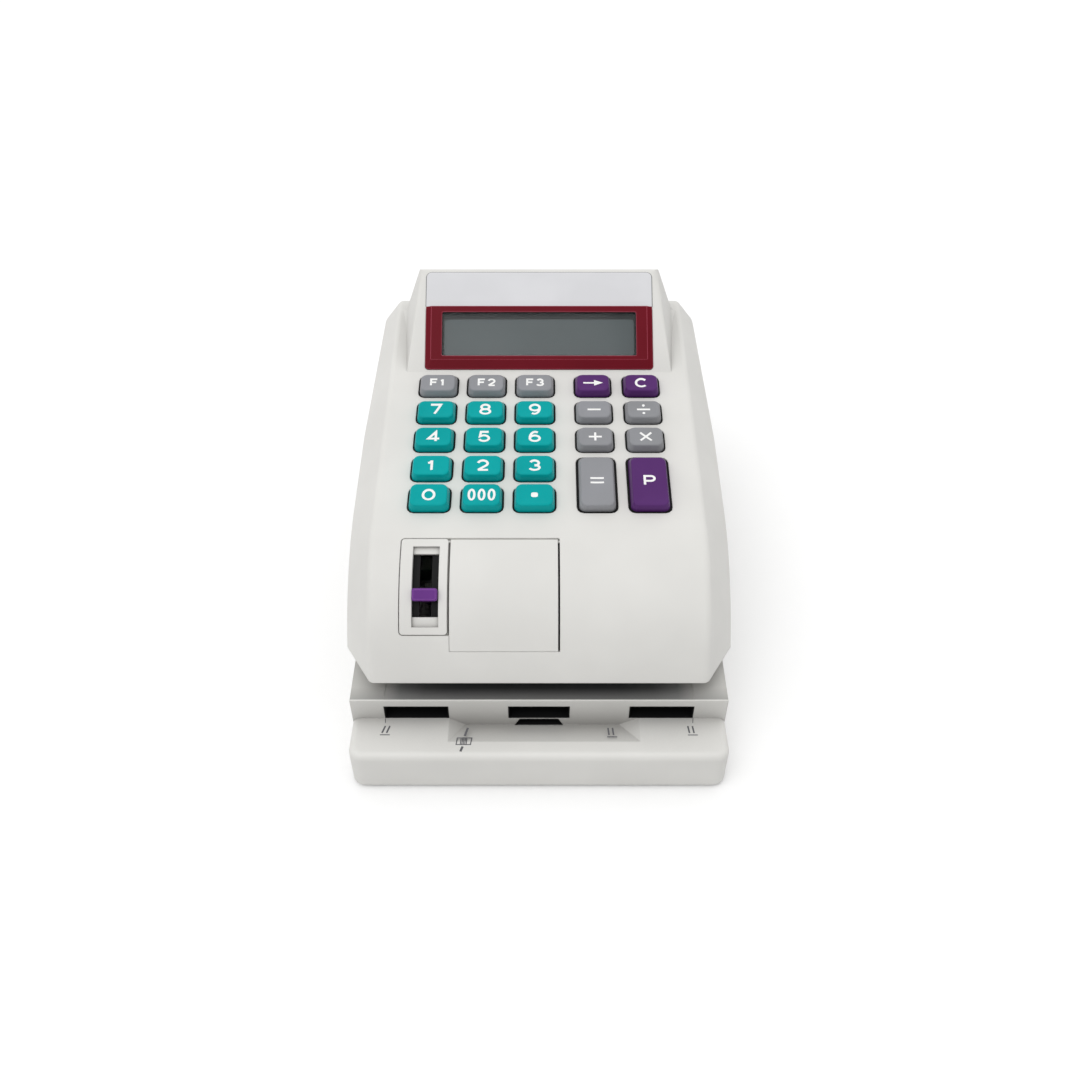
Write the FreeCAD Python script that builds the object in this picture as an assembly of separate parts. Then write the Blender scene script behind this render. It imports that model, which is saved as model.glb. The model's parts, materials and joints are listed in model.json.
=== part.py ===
import FreeCAD, Part
import math
import os

# Desk check writer. Millimetres, +Z up, the operator sits on the -Y side.
# It is modelled with Y counted from the front edge of the base and Z from
# the table it stands on; save() moves each piece to the centre of the footprint.

V = FreeCAD.Vector

# ---- Fits shared by all the pieces ----
wall = 2.5                # moulded housings
sheet = 1.5               # steel brackets
running = 0.05            # radial clearance of a shaft in its bearing
clear = 0.3               # between pieces that move past each other
seam = 0.4                # visible joint line between two mouldings
cut_over = 1.0            # how far a cutting solid runs past a face
touch = 0.01              # how near an edge has to lie to count as being at a place
screw_play = 0.2          # radial clearance of a screw in the hole it passes through
corner_steps = 3          # flats that round each corner of a key and of its opening

# ---- Whole machine ----
machine_depth = 262.0
foot_height = 2.0
plate_floor = 2.0         # thickness of the bottom plate
floor_top = foot_height + plate_floor
head_top = 155.45         # rear top edge of the display hump, before it is rounded

# ---- Base ----
base_half = 91.5
base_rear_half = base_half - 2.5
front_corner = 6.5
base_rear_corner = 13.0
table_top = 25.0
table_depth = 23.0        # front edge to the riser
deck_top = 38.4
throat_back = 112.0       # rear wall of the check slot
taper_start = 160.0       # the side walls taper in plan behind this line
base_edge = 3.5           # rounding of the front upper edge
cheek_x = base_half - 16.5        # inner edge of the raised deck cheeks, where the widest check ends
cheek_rise = 1.4
cheek_run = 24.0          # length of their sloping lead-in

# ---- Head ----
throat_top = 47.0         # underside of the head
lip_y = 27.0
lip_start = math.radians(77.0)    # the crown's arc runs from here to the keyboard's slope
crown_radius = 66.6
key_slope = math.radians(9.8)
head_half = base_half + 3.5
crease_half = head_half - 14.0
head_rear_half = head_half - 5.5
head_rear_corner = 16.0
side_lip_y = 50.0
side_radius = 95.0
bevel_drop = 18.0
crease_round = 4.0
rear_lean = math.radians(3.0)     # the rear wall leans forward
rear_round = 14.0         # where the shoulders turn down into the rear wall

# ---- Riser windows: (left, right) ----
riser_windows = ((-cheek_x, -44.5), (-14.5, 14.5), (44.5, cheek_x))
window_low = 25.6
window_sleeve = 0.5       # rim of the dark liner, flush with the riser's face
window_high = 33.7
pocket_depth = 13.0
scoop_floor = (-36.5, 39.5)
scoop_rim = (-44.0, 49.0)
scoop_depth = 5.0
scoop_run = 14.0
notch_half = 11.5
notch_top_half = 9.0
notch_height = 4.0
notch_depth = 6.5
pocket_wall = 1.5

# ---- Display hump ----
hump_front_y = 188.6
hump_rear_y = 238.7
hump_half = crease_half - 8.5
hump_top_half = crease_half - 15.8
hump_foot_half = crease_half - 4.4
hump_sunk = 18.0          # how far its walls run down inside the head
hump_start = 3.0          # its wedge begins this far before it rises out of the surface
hump_start_height = 0.8
hump_corner = 4.2         # rounding of its upper edges, at the rear
hump_flare = 3.5          # hollow rounding at its foot, at the rear
hump_rear_round = 3.0
bezel_width = 2 * (hump_top_half - 2.7)
bezel_length = 36.0
bezel_gap = 1.3           # hump foot to the bezel
bezel_proud = 1.6
bezel_side_bevel = 3.0
bezel_foot_bevel = 5.2
bezel_sunk = 1.0
view_width = bezel_width - 18.0
view_length = 25.2
view_centre = 21.3        # from the hump foot, up the slope
glass = 1.8
plate_length = 19.6
plate_thick = 0.8
lcd_width = view_width - 3.0
lcd_length = 23.0
lcd_thick = 2.8

# ---- Keys ----
digit_columns = (-54.2, -28.2, -2.2)
function_columns = (28.9, 54.9)
row_pitch = 19.8
first_row_y = 99.0
key_width = 20.6
function_width = 19.4
key_length = 15.6
key_taper = 0.9
key_height = 5.6
key_corner = 3.0
key_edge = 0.7
key_flange = 1.0
flange_thick = 1.3
key_gap = 0.6             # dark joint around each key
key_travel = 1.8
key_wall = 1.5
stem_radius = 2.4         # reach of the cross-shaped plunger's four blades
stem_blade = 0.6          # half their thickness
dome_radius = 4.0
mat_depth = 9.2           # cover surface down to the rubber sheet
mat_thick = 1.0
mat_width = 132.0
dome_sides = 8
board_thick = 1.6
key_board_width = 150.0
board_post_x = 70.0
board_post_radius = 3.0
board_screw_radius = 1.0

# ---- Line lever and its bezel, as angles from the vertical on the crown ----
lever_x = -53.8
lever_bezel_x = (-66.3, -42.5)
lever_bezel_angles = (14.0, 55.5)
lever_bezel_corner = 2.0
slot_width = 12.6
slot_angles = (21.0, 48.0)
recess_angles = (18.0, 52.0)
recess_depth = 1.3
lever_angle = 38.8
knob_width = 12.0
knob_height = 3.4
knob_span = 6.0
arm_width = 5.0
arm_thick = 5.5
pivot_depth = 42.0        # below the crown's surface
pivot_angle = 35.0
pivot_radius = 1.5
hub_radius = 2.9
ear_radius = 3.2
ear_thick = 2.0
fork_radius = 18.0
fork_pin = 1.2
fork_slack = 0.6
fork_sheet = 1.0

# ---- Ink cover ----
ink_cover_x = (-42.5, 10.0)
ink_cover_angles = (14.0, 62.3)
ink_side_gap = 0.9
ink_seam = 0.12           # its closed edges, hardly to be seen
ink_hinge_gap = 0.15
ink_pin = 0.7
ink_pin_length = 3.0

# ---- Print unit ----
print_x = -37.0
wheel_radius = 13.0
wheel_y = (50.0, 58.0)
wheel_lift = 0.4          # rim above the underside of the head
type_count = 12
type_height = 0.8
type_shaft_radius = 2.5
sleeve_radius = 4.5
frame_front_y = 44.5
frame_rear_y = 74.0
frame_x = (-46.5, 66.0)
frame_front_top = 71.8
frame_rear_top = 79.0
guide_thick = 2.0
guide_rear_y = 111.4
ink_radius = 8.0
ink_core_radius = 3.0
ink_axle_radius = 1.5
ink_bearing = 25.0        # direction of the ink roller from the wheel, degrees
gear_module = 0.8
gear_teeth = 24
pinion_teeth = 8
gear_width = 4.0
gear_play = 0.12          # share of a pitch left open between teeth
motor_radius = 11.0
motor_length = 24.0
motor_shaft = 1.0
drive_bearing = 60.0      # direction of the motor from its gear, degrees
platen_size = (14.0, 10.0)
platen_thick = 3.0
platen_gap = 0.5
platen_travel = 8.0
rod_radius = 2.0
coil_radius = 10.0
coil_height = 20.0

# ---- Feed and pinch rollers ----
feed_x = 28.0
tyre_radius = 8.0
tyre_proud = 0.3
tyre_y = ((48.0, 54.0), (66.0, 72.0))
feed_shaft_radius = 2.5
feed_frame_y = (42.0, 111.0)
feed_frame_x = (12.0, 58.0)
pinch_radius = 5.0
pinch_axle_radius = 1.5
pinch_arm_reach = 30.0    # pivot to roller along x, when the rollers grip
pinch_pivot_z = 64.0
pinch_swing = 15.0        # degrees from the open rest to the grip
arm_plate = 2.0
arm_half = 3.0

# ---- Paper stop ----
stop_y = 92.0             # front face of the stop fingers
stop_x = (-62.0, 6.0, 68.0)
finger_width = 4.0
finger_thick = 2.0
stop_bar_length = 8.0
stop_travel = (2.7, 5.8)  # forward and back from rest

# ---- Fasteners, boards, feet ----
screw_radius = 1.5
screw_head = 2.8
screw_head_height = 1.6
boss_radius = 4.0
post_x = base_half - 6.0
front_post_y = 34.0
head_posts = ((base_half - 5.5, throat_back + 14.0), (base_half - 9.5, machine_depth - 22.0))
head_boss_height = 22.0
foot_radius = 6.5
foot_places = ((base_half - 15.5, 18.0), (base_half - 24.5, machine_depth - 18.0))
board_x = 66.0
board_y = (152.0, 232.0)
board_z = 14.0
inlet_x = 52.0
inlet_z = 24.0
inlet_width = 14.0
inlet_height = 11.0
inlet_depth = 15.0
jack_radius = 3.2
plug_pin_radius = 1.0


# ---- Small shape helpers ----
def box(x_span, y_span, z_span):
    size = [span[1] - span[0] for span in (x_span, y_span, z_span)]
    return Part.makeBox(size[0], size[1], size[2], V(x_span[0], y_span[0], z_span[0]))


def rod_z(x, y, radius, z_span):
    return Part.makeCylinder(radius, z_span[1] - z_span[0], V(x, y, z_span[0]), V(0, 0, 1))


def rod_y(x, z, radius, y_span):
    return Part.makeCylinder(radius, y_span[1] - y_span[0], V(x, y_span[0], z), V(0, 1, 0))


def rod_x(y, z, radius, x_span):
    return Part.makeCylinder(radius, x_span[1] - x_span[0], V(x_span[0], y, z), V(1, 0, 0))


def polygon(points):
    return Part.Face(Part.makePolygon([V(*point) for point in points] + [V(*points[0])]))


def side_prism(points, x_span):
    """Extrude a (y, z) outline across the machine."""
    face = polygon([(x_span[0], y, z) for y, z in points])
    return face.extrude(V(x_span[1] - x_span[0], 0, 0))


def front_prism(points, y_span):
    """Extrude an (x, z) outline towards the rear."""
    face = polygon([(x, y_span[0], z) for x, z in points])
    return face.extrude(V(0, y_span[1] - y_span[0], 0))


def rounded_wire(width, length, radius, z, centre=(0.0, 0.0)):
    """Rounded rectangle in a plane of constant z."""
    cx, cy = centre
    a = width / 2 - radius
    b = length / 2 - radius
    edges = []
    for index, (sx, sy) in enumerate(((1, 1), (-1, 1), (-1, -1), (1, -1))):
        corner = V(cx + sx * a, cy + sy * b, z)
        start = 90 * index
        edges.append(Part.makeCircle(radius, corner, V(0, 0, 1), start, start + 90))
        turn = math.radians(start + 90)
        here = corner + V(radius * math.cos(turn), radius * math.sin(turn), 0)
        run = 2 * a if index % 2 == 0 else 2 * b
        there = here + V(-run * math.sin(turn), run * math.cos(turn), 0)
        edges.append(Part.makeLine(here, there))
    return Part.Wire(edges)


def flat_cornered(width, length, radius, z, centre=(0.0, 0.0)):
    """The same outline with each corner rounded by a few flats."""
    points = []
    for index, (sx, sy) in enumerate(((1, 1), (-1, 1), (-1, -1), (1, -1))):
        for step in range(corner_steps + 1):
            turn = math.pi / 2 * (index + step / corner_steps)
            points.append(V(centre[0] + sx * (width / 2 - radius) + radius * math.cos(turn),
                            centre[1] + sy * (length / 2 - radius) + radius * math.sin(turn), z))
    return Part.makePolygon(points + points[:1])


def slab(width, length, radius, z_span, centre=(0.0, 0.0)):
    face = Part.Face(rounded_wire(width, length, radius, z_span[0], centre))
    return face.extrude(V(0, 0, z_span[1] - z_span[0]))


def fused(shapes):
    whole = shapes[0].multiFuse(shapes[1:]) if len(shapes) > 1 else shapes[0]
    return whole.removeSplitter()


def rounded_corner(before, corner, after, radius):
    """The arc that rounds this corner: its start, middle and end."""
    back = (before - corner).normalize()
    ahead = (after - corner).normalize()
    half = back.getAngle(ahead) / 2
    bisector = (back + ahead).normalize()
    middle = corner + bisector * (radius / math.sin(half) - radius)
    reach = radius / math.tan(half)
    return corner + back * reach, middle, corner + ahead * reach


def minus(shape, cutters):
    return shape.cut(Part.makeCompound(cutters))


def both_sides(x):
    return (-x, x)


def save(name, shape):
    moved = shape.copy()
    moved.translate(V(0, -machine_depth / 2, 0))
    moved.exportStep(f"parts/{name}.step")


# ---- Side profile of the head ----
def key_plane(y, drop=0.0):
    """Height of the keyboard surface at y, lowered by drop along its normal."""
    return key_plane_zero + math.tan(key_slope) * y - drop / math.cos(key_slope)


crown_y = lip_y + crown_radius * math.sin(lip_start)
crown_z = throat_top - crown_radius * math.cos(lip_start)
crown_end = (crown_y - crown_radius * math.sin(key_slope), crown_z + crown_radius * math.cos(key_slope))
key_plane_zero = crown_end[1] - math.tan(key_slope) * crown_end[0]


def arc_centre(radius, drop, start_y):
    """Centre of the arc from (start_y, throat_top) that meets the lowered key plane smoothly."""
    slope = math.tan(key_slope)
    offset = key_plane(0.0, drop + radius) - throat_top
    a = 1 + slope ** 2
    b = 2 * (slope * offset - start_y)
    c = start_y ** 2 + offset ** 2 - radius ** 2
    y = (-b + math.sqrt(b * b - 4 * a * c)) / (2 * a)
    return y, key_plane(y, drop + radius)


def rear_wall_y(z):
    return machine_depth - math.tan(rear_lean) * (z - throat_top)


def head_profile(x, centre, radius, drop, inset):
    """Closed wire at one x: arc from the lip, key plane, rear wall and underside."""
    floor = throat_top - (cut_over if inset else 0.0)
    rear = rear_wall_y(key_plane(machine_depth, drop)) - inset
    end = V(x, centre[0] - radius * math.sin(key_slope), centre[1] + radius * math.cos(key_slope))
    start_turn = math.acos((throat_top - centre[1]) / radius)
    start = V(x, centre[0] - radius * math.sin(start_turn), throat_top)
    half_turn = (start_turn + key_slope) / 2
    middle = V(x, centre[0] - radius * math.sin(half_turn), centre[1] + radius * math.cos(half_turn))
    foot = V(x, rear_wall_y(floor) - inset, floor)
    turn_down = rounded_corner(end, V(x, rear, key_plane(rear, drop)), foot, rear_round - inset)
    corners = [turn_down[2], foot]
    if inset:
        corners.append(V(x, start.y, floor))
    corners.append(start)
    edges = [Part.Arc(start, middle, end).toShape(), Part.makeLine(end, turn_down[0])]
    edges.append(Part.Arc(*turn_down).toShape())
    edges += [Part.makeLine(a, b) for a, b in zip(corners, corners[1:])]
    return Part.Wire(edges)


def plan_prism(front_y, halves, inset, z_span, front_radius, rear_radius):
    """Footprint that tapers behind taper_start, with rounded corners."""
    rear_y = machine_depth - inset
    half, back = [width - inset for width in halves]
    points = [(-half, front_y), (half, front_y), (half, taper_start), (back, rear_y)]
    points += [(-back, rear_y), (-half, taper_start)]
    solid = polygon([(x, y, z_span[0]) for x, y in points]).extrude(V(0, 0, z_span[1] - z_span[0]))
    solid = solid.makeFillet(rear_radius - inset, upright_edges(solid, rear_y))
    if front_radius:
        solid = solid.makeFillet(front_radius - inset, upright_edges(solid, front_y))
    return solid


def upright_edges(solid, y):
    """The straight vertical edges that stand at this y."""
    def stands(edge):
        extent = edge.BoundBox
        return extent.XLength < touch and extent.YLength < touch and abs(extent.YMin - y) < touch
    return [edge for edge in solid.Edges if stands(edge)]


def head_form(inset):
    """The head without its hump: level middle, bevelled sides, tapered plan."""
    middle_centre = (crown_y, crown_z)
    middle_radius = crown_radius - inset
    side_centre = arc_centre(side_radius, bevel_drop, side_lip_y)
    crease = crease_half - inset * math.tan(math.radians(22.5))
    outside = head_half - inset
    pieces = []
    middle = Part.Face(head_profile(-crease, middle_centre, middle_radius, inset, inset))
    pieces.append(middle.extrude(V(2 * crease, 0, 0)))
    for side in (-1, 1):
        inner = head_profile(side * crease, middle_centre, middle_radius, inset, inset)
        outer = head_profile(side * outside, side_centre, side_radius - inset, bevel_drop + inset, inset)
        pieces.append(Part.makeLoft([inner, outer], True, True))
    body = pieces[0].multiFuse(pieces[1:]).removeSplitter()
    if not inset:
        body = body.makeFillet(crease_round, [edge for edge in body.Edges if crease_edge(edge)])
    plan = plan_prism(0.0, (head_half, head_rear_half), inset, (throat_top - 2 * cut_over, head_top), 0.0,
                      head_rear_corner)
    return body.common(plan)


def crease_edge(edge):
    """The crown's and the keyboard surface's long edges, where the bevelled sides begin."""
    extent = edge.BoundBox
    beside = extent.XLength < touch and abs(abs(extent.XMin) - crease_half) < touch
    return beside and extent.YLength > 2 * rear_round and extent.ZLength > cut_over


# ---- Display hump ----
hump_front_z = key_plane(hump_front_y)
hump_slope = math.atan((head_top - hump_front_z) / (hump_rear_y - hump_front_y))
hump_length = (hump_rear_y - hump_front_y) / math.cos(hump_slope)
hump_height = head_top - key_plane(hump_rear_y)
hump_lean = (hump_foot_half - hump_top_half) / hump_height


def hump_section(y, height, flare, corner):
    """Cross-section of the hump: hollow at the foot, rounded above, running down into the head."""
    share = (y - hump_front_y) / (hump_rear_y - hump_front_y)
    top = hump_front_z + share * (head_top - hump_front_z)
    top_x = hump_half + share * (hump_top_half - hump_half)
    foot_x = top_x + hump_lean * height
    edges = []
    ends = []
    for side in (-1, 1):
        upper = V(side * top_x, y, top)
        foot = V(side * foot_x, y, top - height)
        outward = foot + V(side * hump_foot_half, 0, 0)
        rise = rounded_corner(outward, foot, upper, flare)
        over = rounded_corner(foot, upper, V(0, y, top), corner)
        low = V(rise[0].x, y, rise[0].z - hump_sunk)
        edges += [Part.makeLine(low, rise[0]), Part.Arc(*rise).toShape(), Part.makeLine(rise[2], over[0]),
                  Part.Arc(*over).toShape()]
        ends.append((low, over[2]))
    edges.append(Part.makeLine(ends[0][1], ends[1][1]))
    edges.append(Part.makeLine(ends[0][0], ends[1][0]))
    return Part.Wire(Part.__sortEdges__(edges))


def hump_form():
    """Wedge on the rear of the keyboard surface, with leaning sides."""
    share = hump_start_height / hump_height
    front = hump_section(hump_front_y - hump_start, hump_start_height, hump_flare * share, hump_corner * share)
    rear = hump_section(hump_rear_y, hump_height, hump_flare, hump_corner)
    top_rear = V(0, hump_rear_y, head_top)
    eased = rounded_corner(V(0, hump_front_y, hump_front_z), top_rear, V(0, hump_rear_y, 0), hump_rear_round)
    sliver = Part.Face(Part.Wire([Part.Arc(*eased).toShape(), Part.makeLine(eased[2], top_rear),
                                  Part.makeLine(top_rear, eased[0])]))
    sliver.translate(V(-hump_foot_half, 0, 0))
    return Part.makeLoft([front, rear], True, True).cut(sliver.extrude(V(2 * hump_foot_half, 0, 0)))


def hump_hollow():
    """Room under the hump, one wall thickness inside it."""
    drop = wall / math.cos(hump_slope)

    def outline(y):
        share = (y - hump_front_y) / (hump_rear_y - hump_front_y)
        top = hump_front_z + share * (head_top - hump_front_z) - drop
        low = key_plane(y) - hump_sunk
        half = hump_half + share * (hump_top_half - hump_half) - wall
        return [V(-half, y, low), V(half, y, low), V(half, y, top), V(-half, y, top)]

    start = hump_front_y - hump_start
    wires = [Part.makePolygon(points + points[:1]) for points in (outline(start), outline(hump_rear_y - wall))]
    return Part.makeLoft(wires, True, True)


def key_frame_place(shape):
    """Carry a shape from the keyboard's own frame to the machine."""
    turn = FreeCAD.Rotation(V(1, 0, 0), math.degrees(key_slope))
    spot = FreeCAD.Placement(V(0, first_row_y, key_plane(first_row_y)), turn)
    return shape.transformed(spot.toMatrix(), True)


def display_place(shape):
    """Carry a shape from the display's own frame, whose origin is the hump foot."""
    turn = FreeCAD.Rotation(V(1, 0, 0), math.degrees(hump_slope))
    spot = FreeCAD.Placement(V(0, hump_front_y, hump_front_z), turn)
    return shape.transformed(spot.toMatrix(), True)


def crown_point(angle, radius):
    turn = math.radians(angle)
    return crown_y - radius * math.sin(turn), crown_z + radius * math.cos(turn)


def crown_sector(x_span, angles, radii):
    """Part of the crown's wall between two angles and two radii."""
    def at(angle, radius):
        y, z = crown_point(angle, radius)
        return V(x_span[0], y, z)

    middle = (angles[0] + angles[1]) / 2
    outer = Part.Arc(at(angles[0], radii[1]), at(middle, radii[1]), at(angles[1], radii[1])).toShape()
    inner = Part.Arc(at(angles[1], radii[0]), at(middle, radii[0]), at(angles[0], radii[0])).toShape()
    ends = [Part.makeLine(at(angles[1], radii[1]), at(angles[1], radii[0])),
            Part.makeLine(at(angles[0], radii[0]), at(angles[0], radii[1]))]
    face = Part.Face(Part.Wire([outer, ends[0], inner, ends[1]]))
    return face.extrude(V(x_span[1] - x_span[0], 0, 0))


def radial_edges(sector, x=None):
    """The edges of a crown sector that run through the wall, all of them or those at one x."""
    through = [edge for edge in sector.Edges if edge.Curve.TypeId == "Part::GeomLine"
               and edge.BoundBox.XLength < touch]
    return [edge for edge in through if x is None or abs(edge.BoundBox.XMin - x) < touch]


def arc_degrees(length, radius):
    return math.degrees(length / radius)


# ---- Key layout: name, x, row, rows spanned, width ----
def key_layout():
    keys = []
    rows = (("0", "000", "point"), ("1", "2", "3"), ("4", "5", "6"), ("7", "8", "9"), ("f1", "f2", "f3"))
    for row, names in enumerate(rows):
        for name, x in zip(names, digit_columns):
            keys.append((name, x, row, 1, key_width))
    pairs = ((2, ("plus", "times")), (3, ("minus", "divide")), (4, ("arrow", "clear")))
    for row, names in pairs:
        for name, x in zip(names, function_columns):
            keys.append((name, x, row, 1, function_width))
    keys.append(("equals", function_columns[0], 0, 2, function_width))
    keys.append(("print", function_columns[1], 0, 2, key_width))
    return keys


def key_place(row, span):
    return row_pitch * (row + (span - 1) / 2)


def key_size(span):
    return key_length + row_pitch * (span - 1)


def key_cap(width, length):
    """Tapered hollow cap with a retaining flange and a plunger inside."""
    low = -wall - clear
    steps = [(low, 0.0), (key_height * 0.25, 0.0), (key_height - key_edge, key_taper),
             (key_height, key_taper + key_edge)]
    wires = [flat_cornered(width - 2 * inset, length - 2 * inset, key_corner, z) for z, inset in steps]
    cap = Part.makeLoft(wires, True, True)
    rim = Part.Face(flat_cornered(width + 2 * key_flange, length + 2 * key_flange, key_corner, low))
    flange = rim.extrude(V(0, 0, -flange_thick))
    hollow = box(both_sides(width / 2 - key_wall - key_taper), both_sides(length / 2 - key_wall - key_taper),
                 (low - flange_thick - cut_over, key_height - key_wall - key_edge))
    shell = cap.fuse(flange).cut(hollow)
    reach = key_height - key_wall - key_edge
    blades = [box(both_sides(half_x), both_sides(half_y), (dome_top(), reach))
              for half_x, half_y in ((stem_radius, stem_blade), (stem_blade, stem_radius))]
    return fused([shell] + blades)


def dome_top():
    return -wall - clear - flange_thick


def make_keys():
    for name, x, row, span, width in key_layout():
        cap = key_cap(width, key_size(span))
        cap.translate(V(x, key_place(row, span), 0))
        save(f"key_{name}", key_frame_place(cap))


def keyboard_span():
    rows = 5
    return -key_length / 2 - 4.0, row_pitch * (rows - 1) + key_length / 2 + 3.0


def board_post_places():
    low, high = keyboard_span()
    inset = board_post_radius + cut_over
    return [(x, y) for x in both_sides(board_post_x) for y in (low + inset, (low + high) / 2, high - inset)]


# ---- Top cover ----
def key_openings():
    cutters = []
    for name, x, row, span, width in key_layout():
        rim = Part.Face(flat_cornered(width + 2 * key_gap, key_size(span) + 2 * key_gap, key_corner + key_gap,
                                      cut_over, (x, key_place(row, span))))
        cutters.append(key_frame_place(rim.extrude(V(0, 0, -wall - 2 * cut_over))))
    return cutters


def make_top_cover():
    outside = head_form(0.0).fuse(hump_form()).removeSplitter()
    inside = head_form(wall).fuse(hump_hollow()).removeSplitter()
    cover = outside.cut(inside)
    cover = minus(cover, key_openings() + display_openings() + crown_openings())
    return cover.fuse(Part.makeCompound(cover_bosses(outside))).removeSplitter().cut(pilot_holes())


def display_openings():
    view = slab(view_width - 4, view_length - 4, 1.5, (-2 * wall, cut_over), (0, view_centre))
    bezel_y = bezel_gap + bezel_length / 2
    seat = slab(bezel_width + seam, bezel_length + seam, 2.0, (-bezel_sunk, hump_length), (0, bezel_y))
    return [display_place(view), display_place(seat)]


def crown_openings():
    radii = (crown_radius - wall - cut_over, crown_radius + cut_over)
    ink = crown_sector(ink_cover_x, ink_cover_angles, radii)
    ink = ink.makeFillet(ink_side_gap, upper_edges(radial_edges(ink, ink_cover_x[1])))
    lever = crown_sector(lever_bezel_x, lever_bezel_angles, radii)
    lever = lever.makeFillet(lever_bezel_corner, radial_edges(lever, lever_bezel_x[0]))
    pin_y, pin_z = ink_hinge()
    pins = rod_x(pin_y, pin_z, ink_pin + running,
                 (ink_cover_x[0] - ink_pin_length, ink_cover_x[1] + ink_pin_length))
    return [ink, lever, pins]


def upper_edges(edges):
    """Of the edges through the crown's wall, the one highest on the crown."""
    return [max(edges, key=lambda edge: edge.BoundBox.ZMax)]


def cover_bosses(outside):
    bosses = []
    for x, y in board_post_places():
        post = rod_z(x, y, board_post_radius, (-mat_depth - mat_thick, -wall / 2))
        bosses.append(key_frame_place(post))
    for x, y in head_posts:
        for side in (-1, 1):
            column = rod_z(side * x, y, boss_radius, (throat_top, throat_top + head_boss_height))
            rib_x = sorted((side * x, side * head_half))
            rib = box(rib_x, (y - wall / 2, y + wall / 2), (throat_top, throat_top + head_boss_height))
            bosses.append(column.fuse(rib).common(outside))
    return bosses


def pilot_holes():
    holes = []
    for x, y in head_posts:
        for side in (-1, 1):
            holes.append(rod_z(side * x, y, screw_radius + running,
                               (throat_top - cut_over, throat_top + head_boss_height - 2)))
    for x, y in board_post_places():
        hole = rod_z(x, y, board_screw_radius + running, (-mat_depth - mat_thick - cut_over, -wall - sheet))
        holes.append(key_frame_place(hole))
    return Part.makeCompound(holes)


# ---- Display group ----
def make_display():
    bezel_y = bezel_gap + bezel_length / 2
    low = rounded_wire(bezel_width, bezel_length, 2.0, -bezel_sunk, (0, bezel_y))
    rim = rounded_wire(bezel_width, bezel_length, 2.0, bezel_proud * 0.25, (0, bezel_y))
    top = rounded_wire(bezel_width - 2 * bezel_side_bevel, bezel_length - bezel_foot_bevel, 1.0, bezel_proud,
                       (0, bezel_y + bezel_foot_bevel / 2))
    bezel = Part.makeLoft([low, rim, top], True, True)
    opening = slab(view_width, view_length, 1.0, (-bezel_sunk + glass, hump_length), (0, view_centre))
    seat = slab(view_width + 3, view_length + 3, 1.5, (-bezel_sunk - cut_over, -bezel_sunk + glass),
                (0, view_centre))
    save("display_bezel", display_place(minus(bezel, [opening, seat])))
    pane = slab(view_width + 3 - seam, view_length + 3 - seam, 1.3, (-bezel_sunk, -bezel_sunk + glass),
                (0, view_centre))
    save("display_window", display_place(pane))
    panel = slab(lcd_width, lcd_length, 0.8, (-wall - lcd_thick, -wall), (0, view_centre))
    board = slab(lcd_width + 12, lcd_length + 6, 1.0,
                 (-wall - lcd_thick - board_thick, -wall - lcd_thick), (0, view_centre))
    save("lcd_panel", display_place(fused([panel, board])))
    plate_y = bezel_gap + bezel_length + seam + plate_length / 2
    plate = slab(bezel_width, plate_length, 3.0, (0.0, plate_thick), (0, plate_y))
    save("name_plate", display_place(plate))


# ---- Keyboard sheet and board ----
def make_keyboard():
    low, high = keyboard_span()
    middle = (low + high) / 2
    sheet_z = (-mat_depth - mat_thick, -mat_depth)
    rubber = Part.Face(flat_cornered(mat_width, high - low, 3.0, sheet_z[0], (0, middle)))
    rubber = rubber.extrude(V(0, 0, mat_thick))
    domes = []
    for name, x, row, span, width in key_layout():
        rings = [dome_ring(x, key_place(row, span), radius, z)
                 for radius, z in ((dome_radius, -mat_depth), (stem_radius, dome_top()))]
        domes.append(Part.makeLoft(rings, True, True))
    save("key_mat", key_frame_place(rubber.multiFuse(domes).removeSplitter()))
    board_z = (sheet_z[0] - board_thick, sheet_z[0])
    board = slab(key_board_width, high - low, 2.0, board_z, (0, middle))
    holes = [rod_z(x, y, board_screw_radius + screw_play, (board_z[0] - 1, board_z[1] + 1))
             for x, y in board_post_places()]
    save("key_board", key_frame_place(minus(board, holes)))
    screws = []
    for x, y in board_post_places():
        head = rod_z(x, y, 2 * board_screw_radius, (board_z[0] - screw_head_height, board_z[0]))
        shank = rod_z(x, y, board_screw_radius, (board_z[0] - cut_over, -2 * wall))
        screws.append(head.fuse(shank))
    return [key_frame_place(screw) for screw in screws]


def dome_ring(x, y, radius, z):
    turns = [2 * math.pi * side / dome_sides for side in range(dome_sides)]
    points = [V(x + radius * math.cos(turn), y + radius * math.sin(turn), z) for turn in turns]
    return Part.makePolygon(points + points[:1])


# ---- Line lever ----
def lever_pivot():
    return crown_point(pivot_angle, crown_radius - pivot_depth)


def lever_direction():
    """Angle from the vertical of the lever's arm at rest, and its length to the surface."""
    pivot_y, pivot_z = lever_pivot()
    tip_y, tip_z = crown_point(lever_angle, crown_radius)
    return math.atan2(pivot_y - tip_y, tip_z - pivot_z), math.hypot(pivot_y - tip_y, tip_z - pivot_z)


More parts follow.
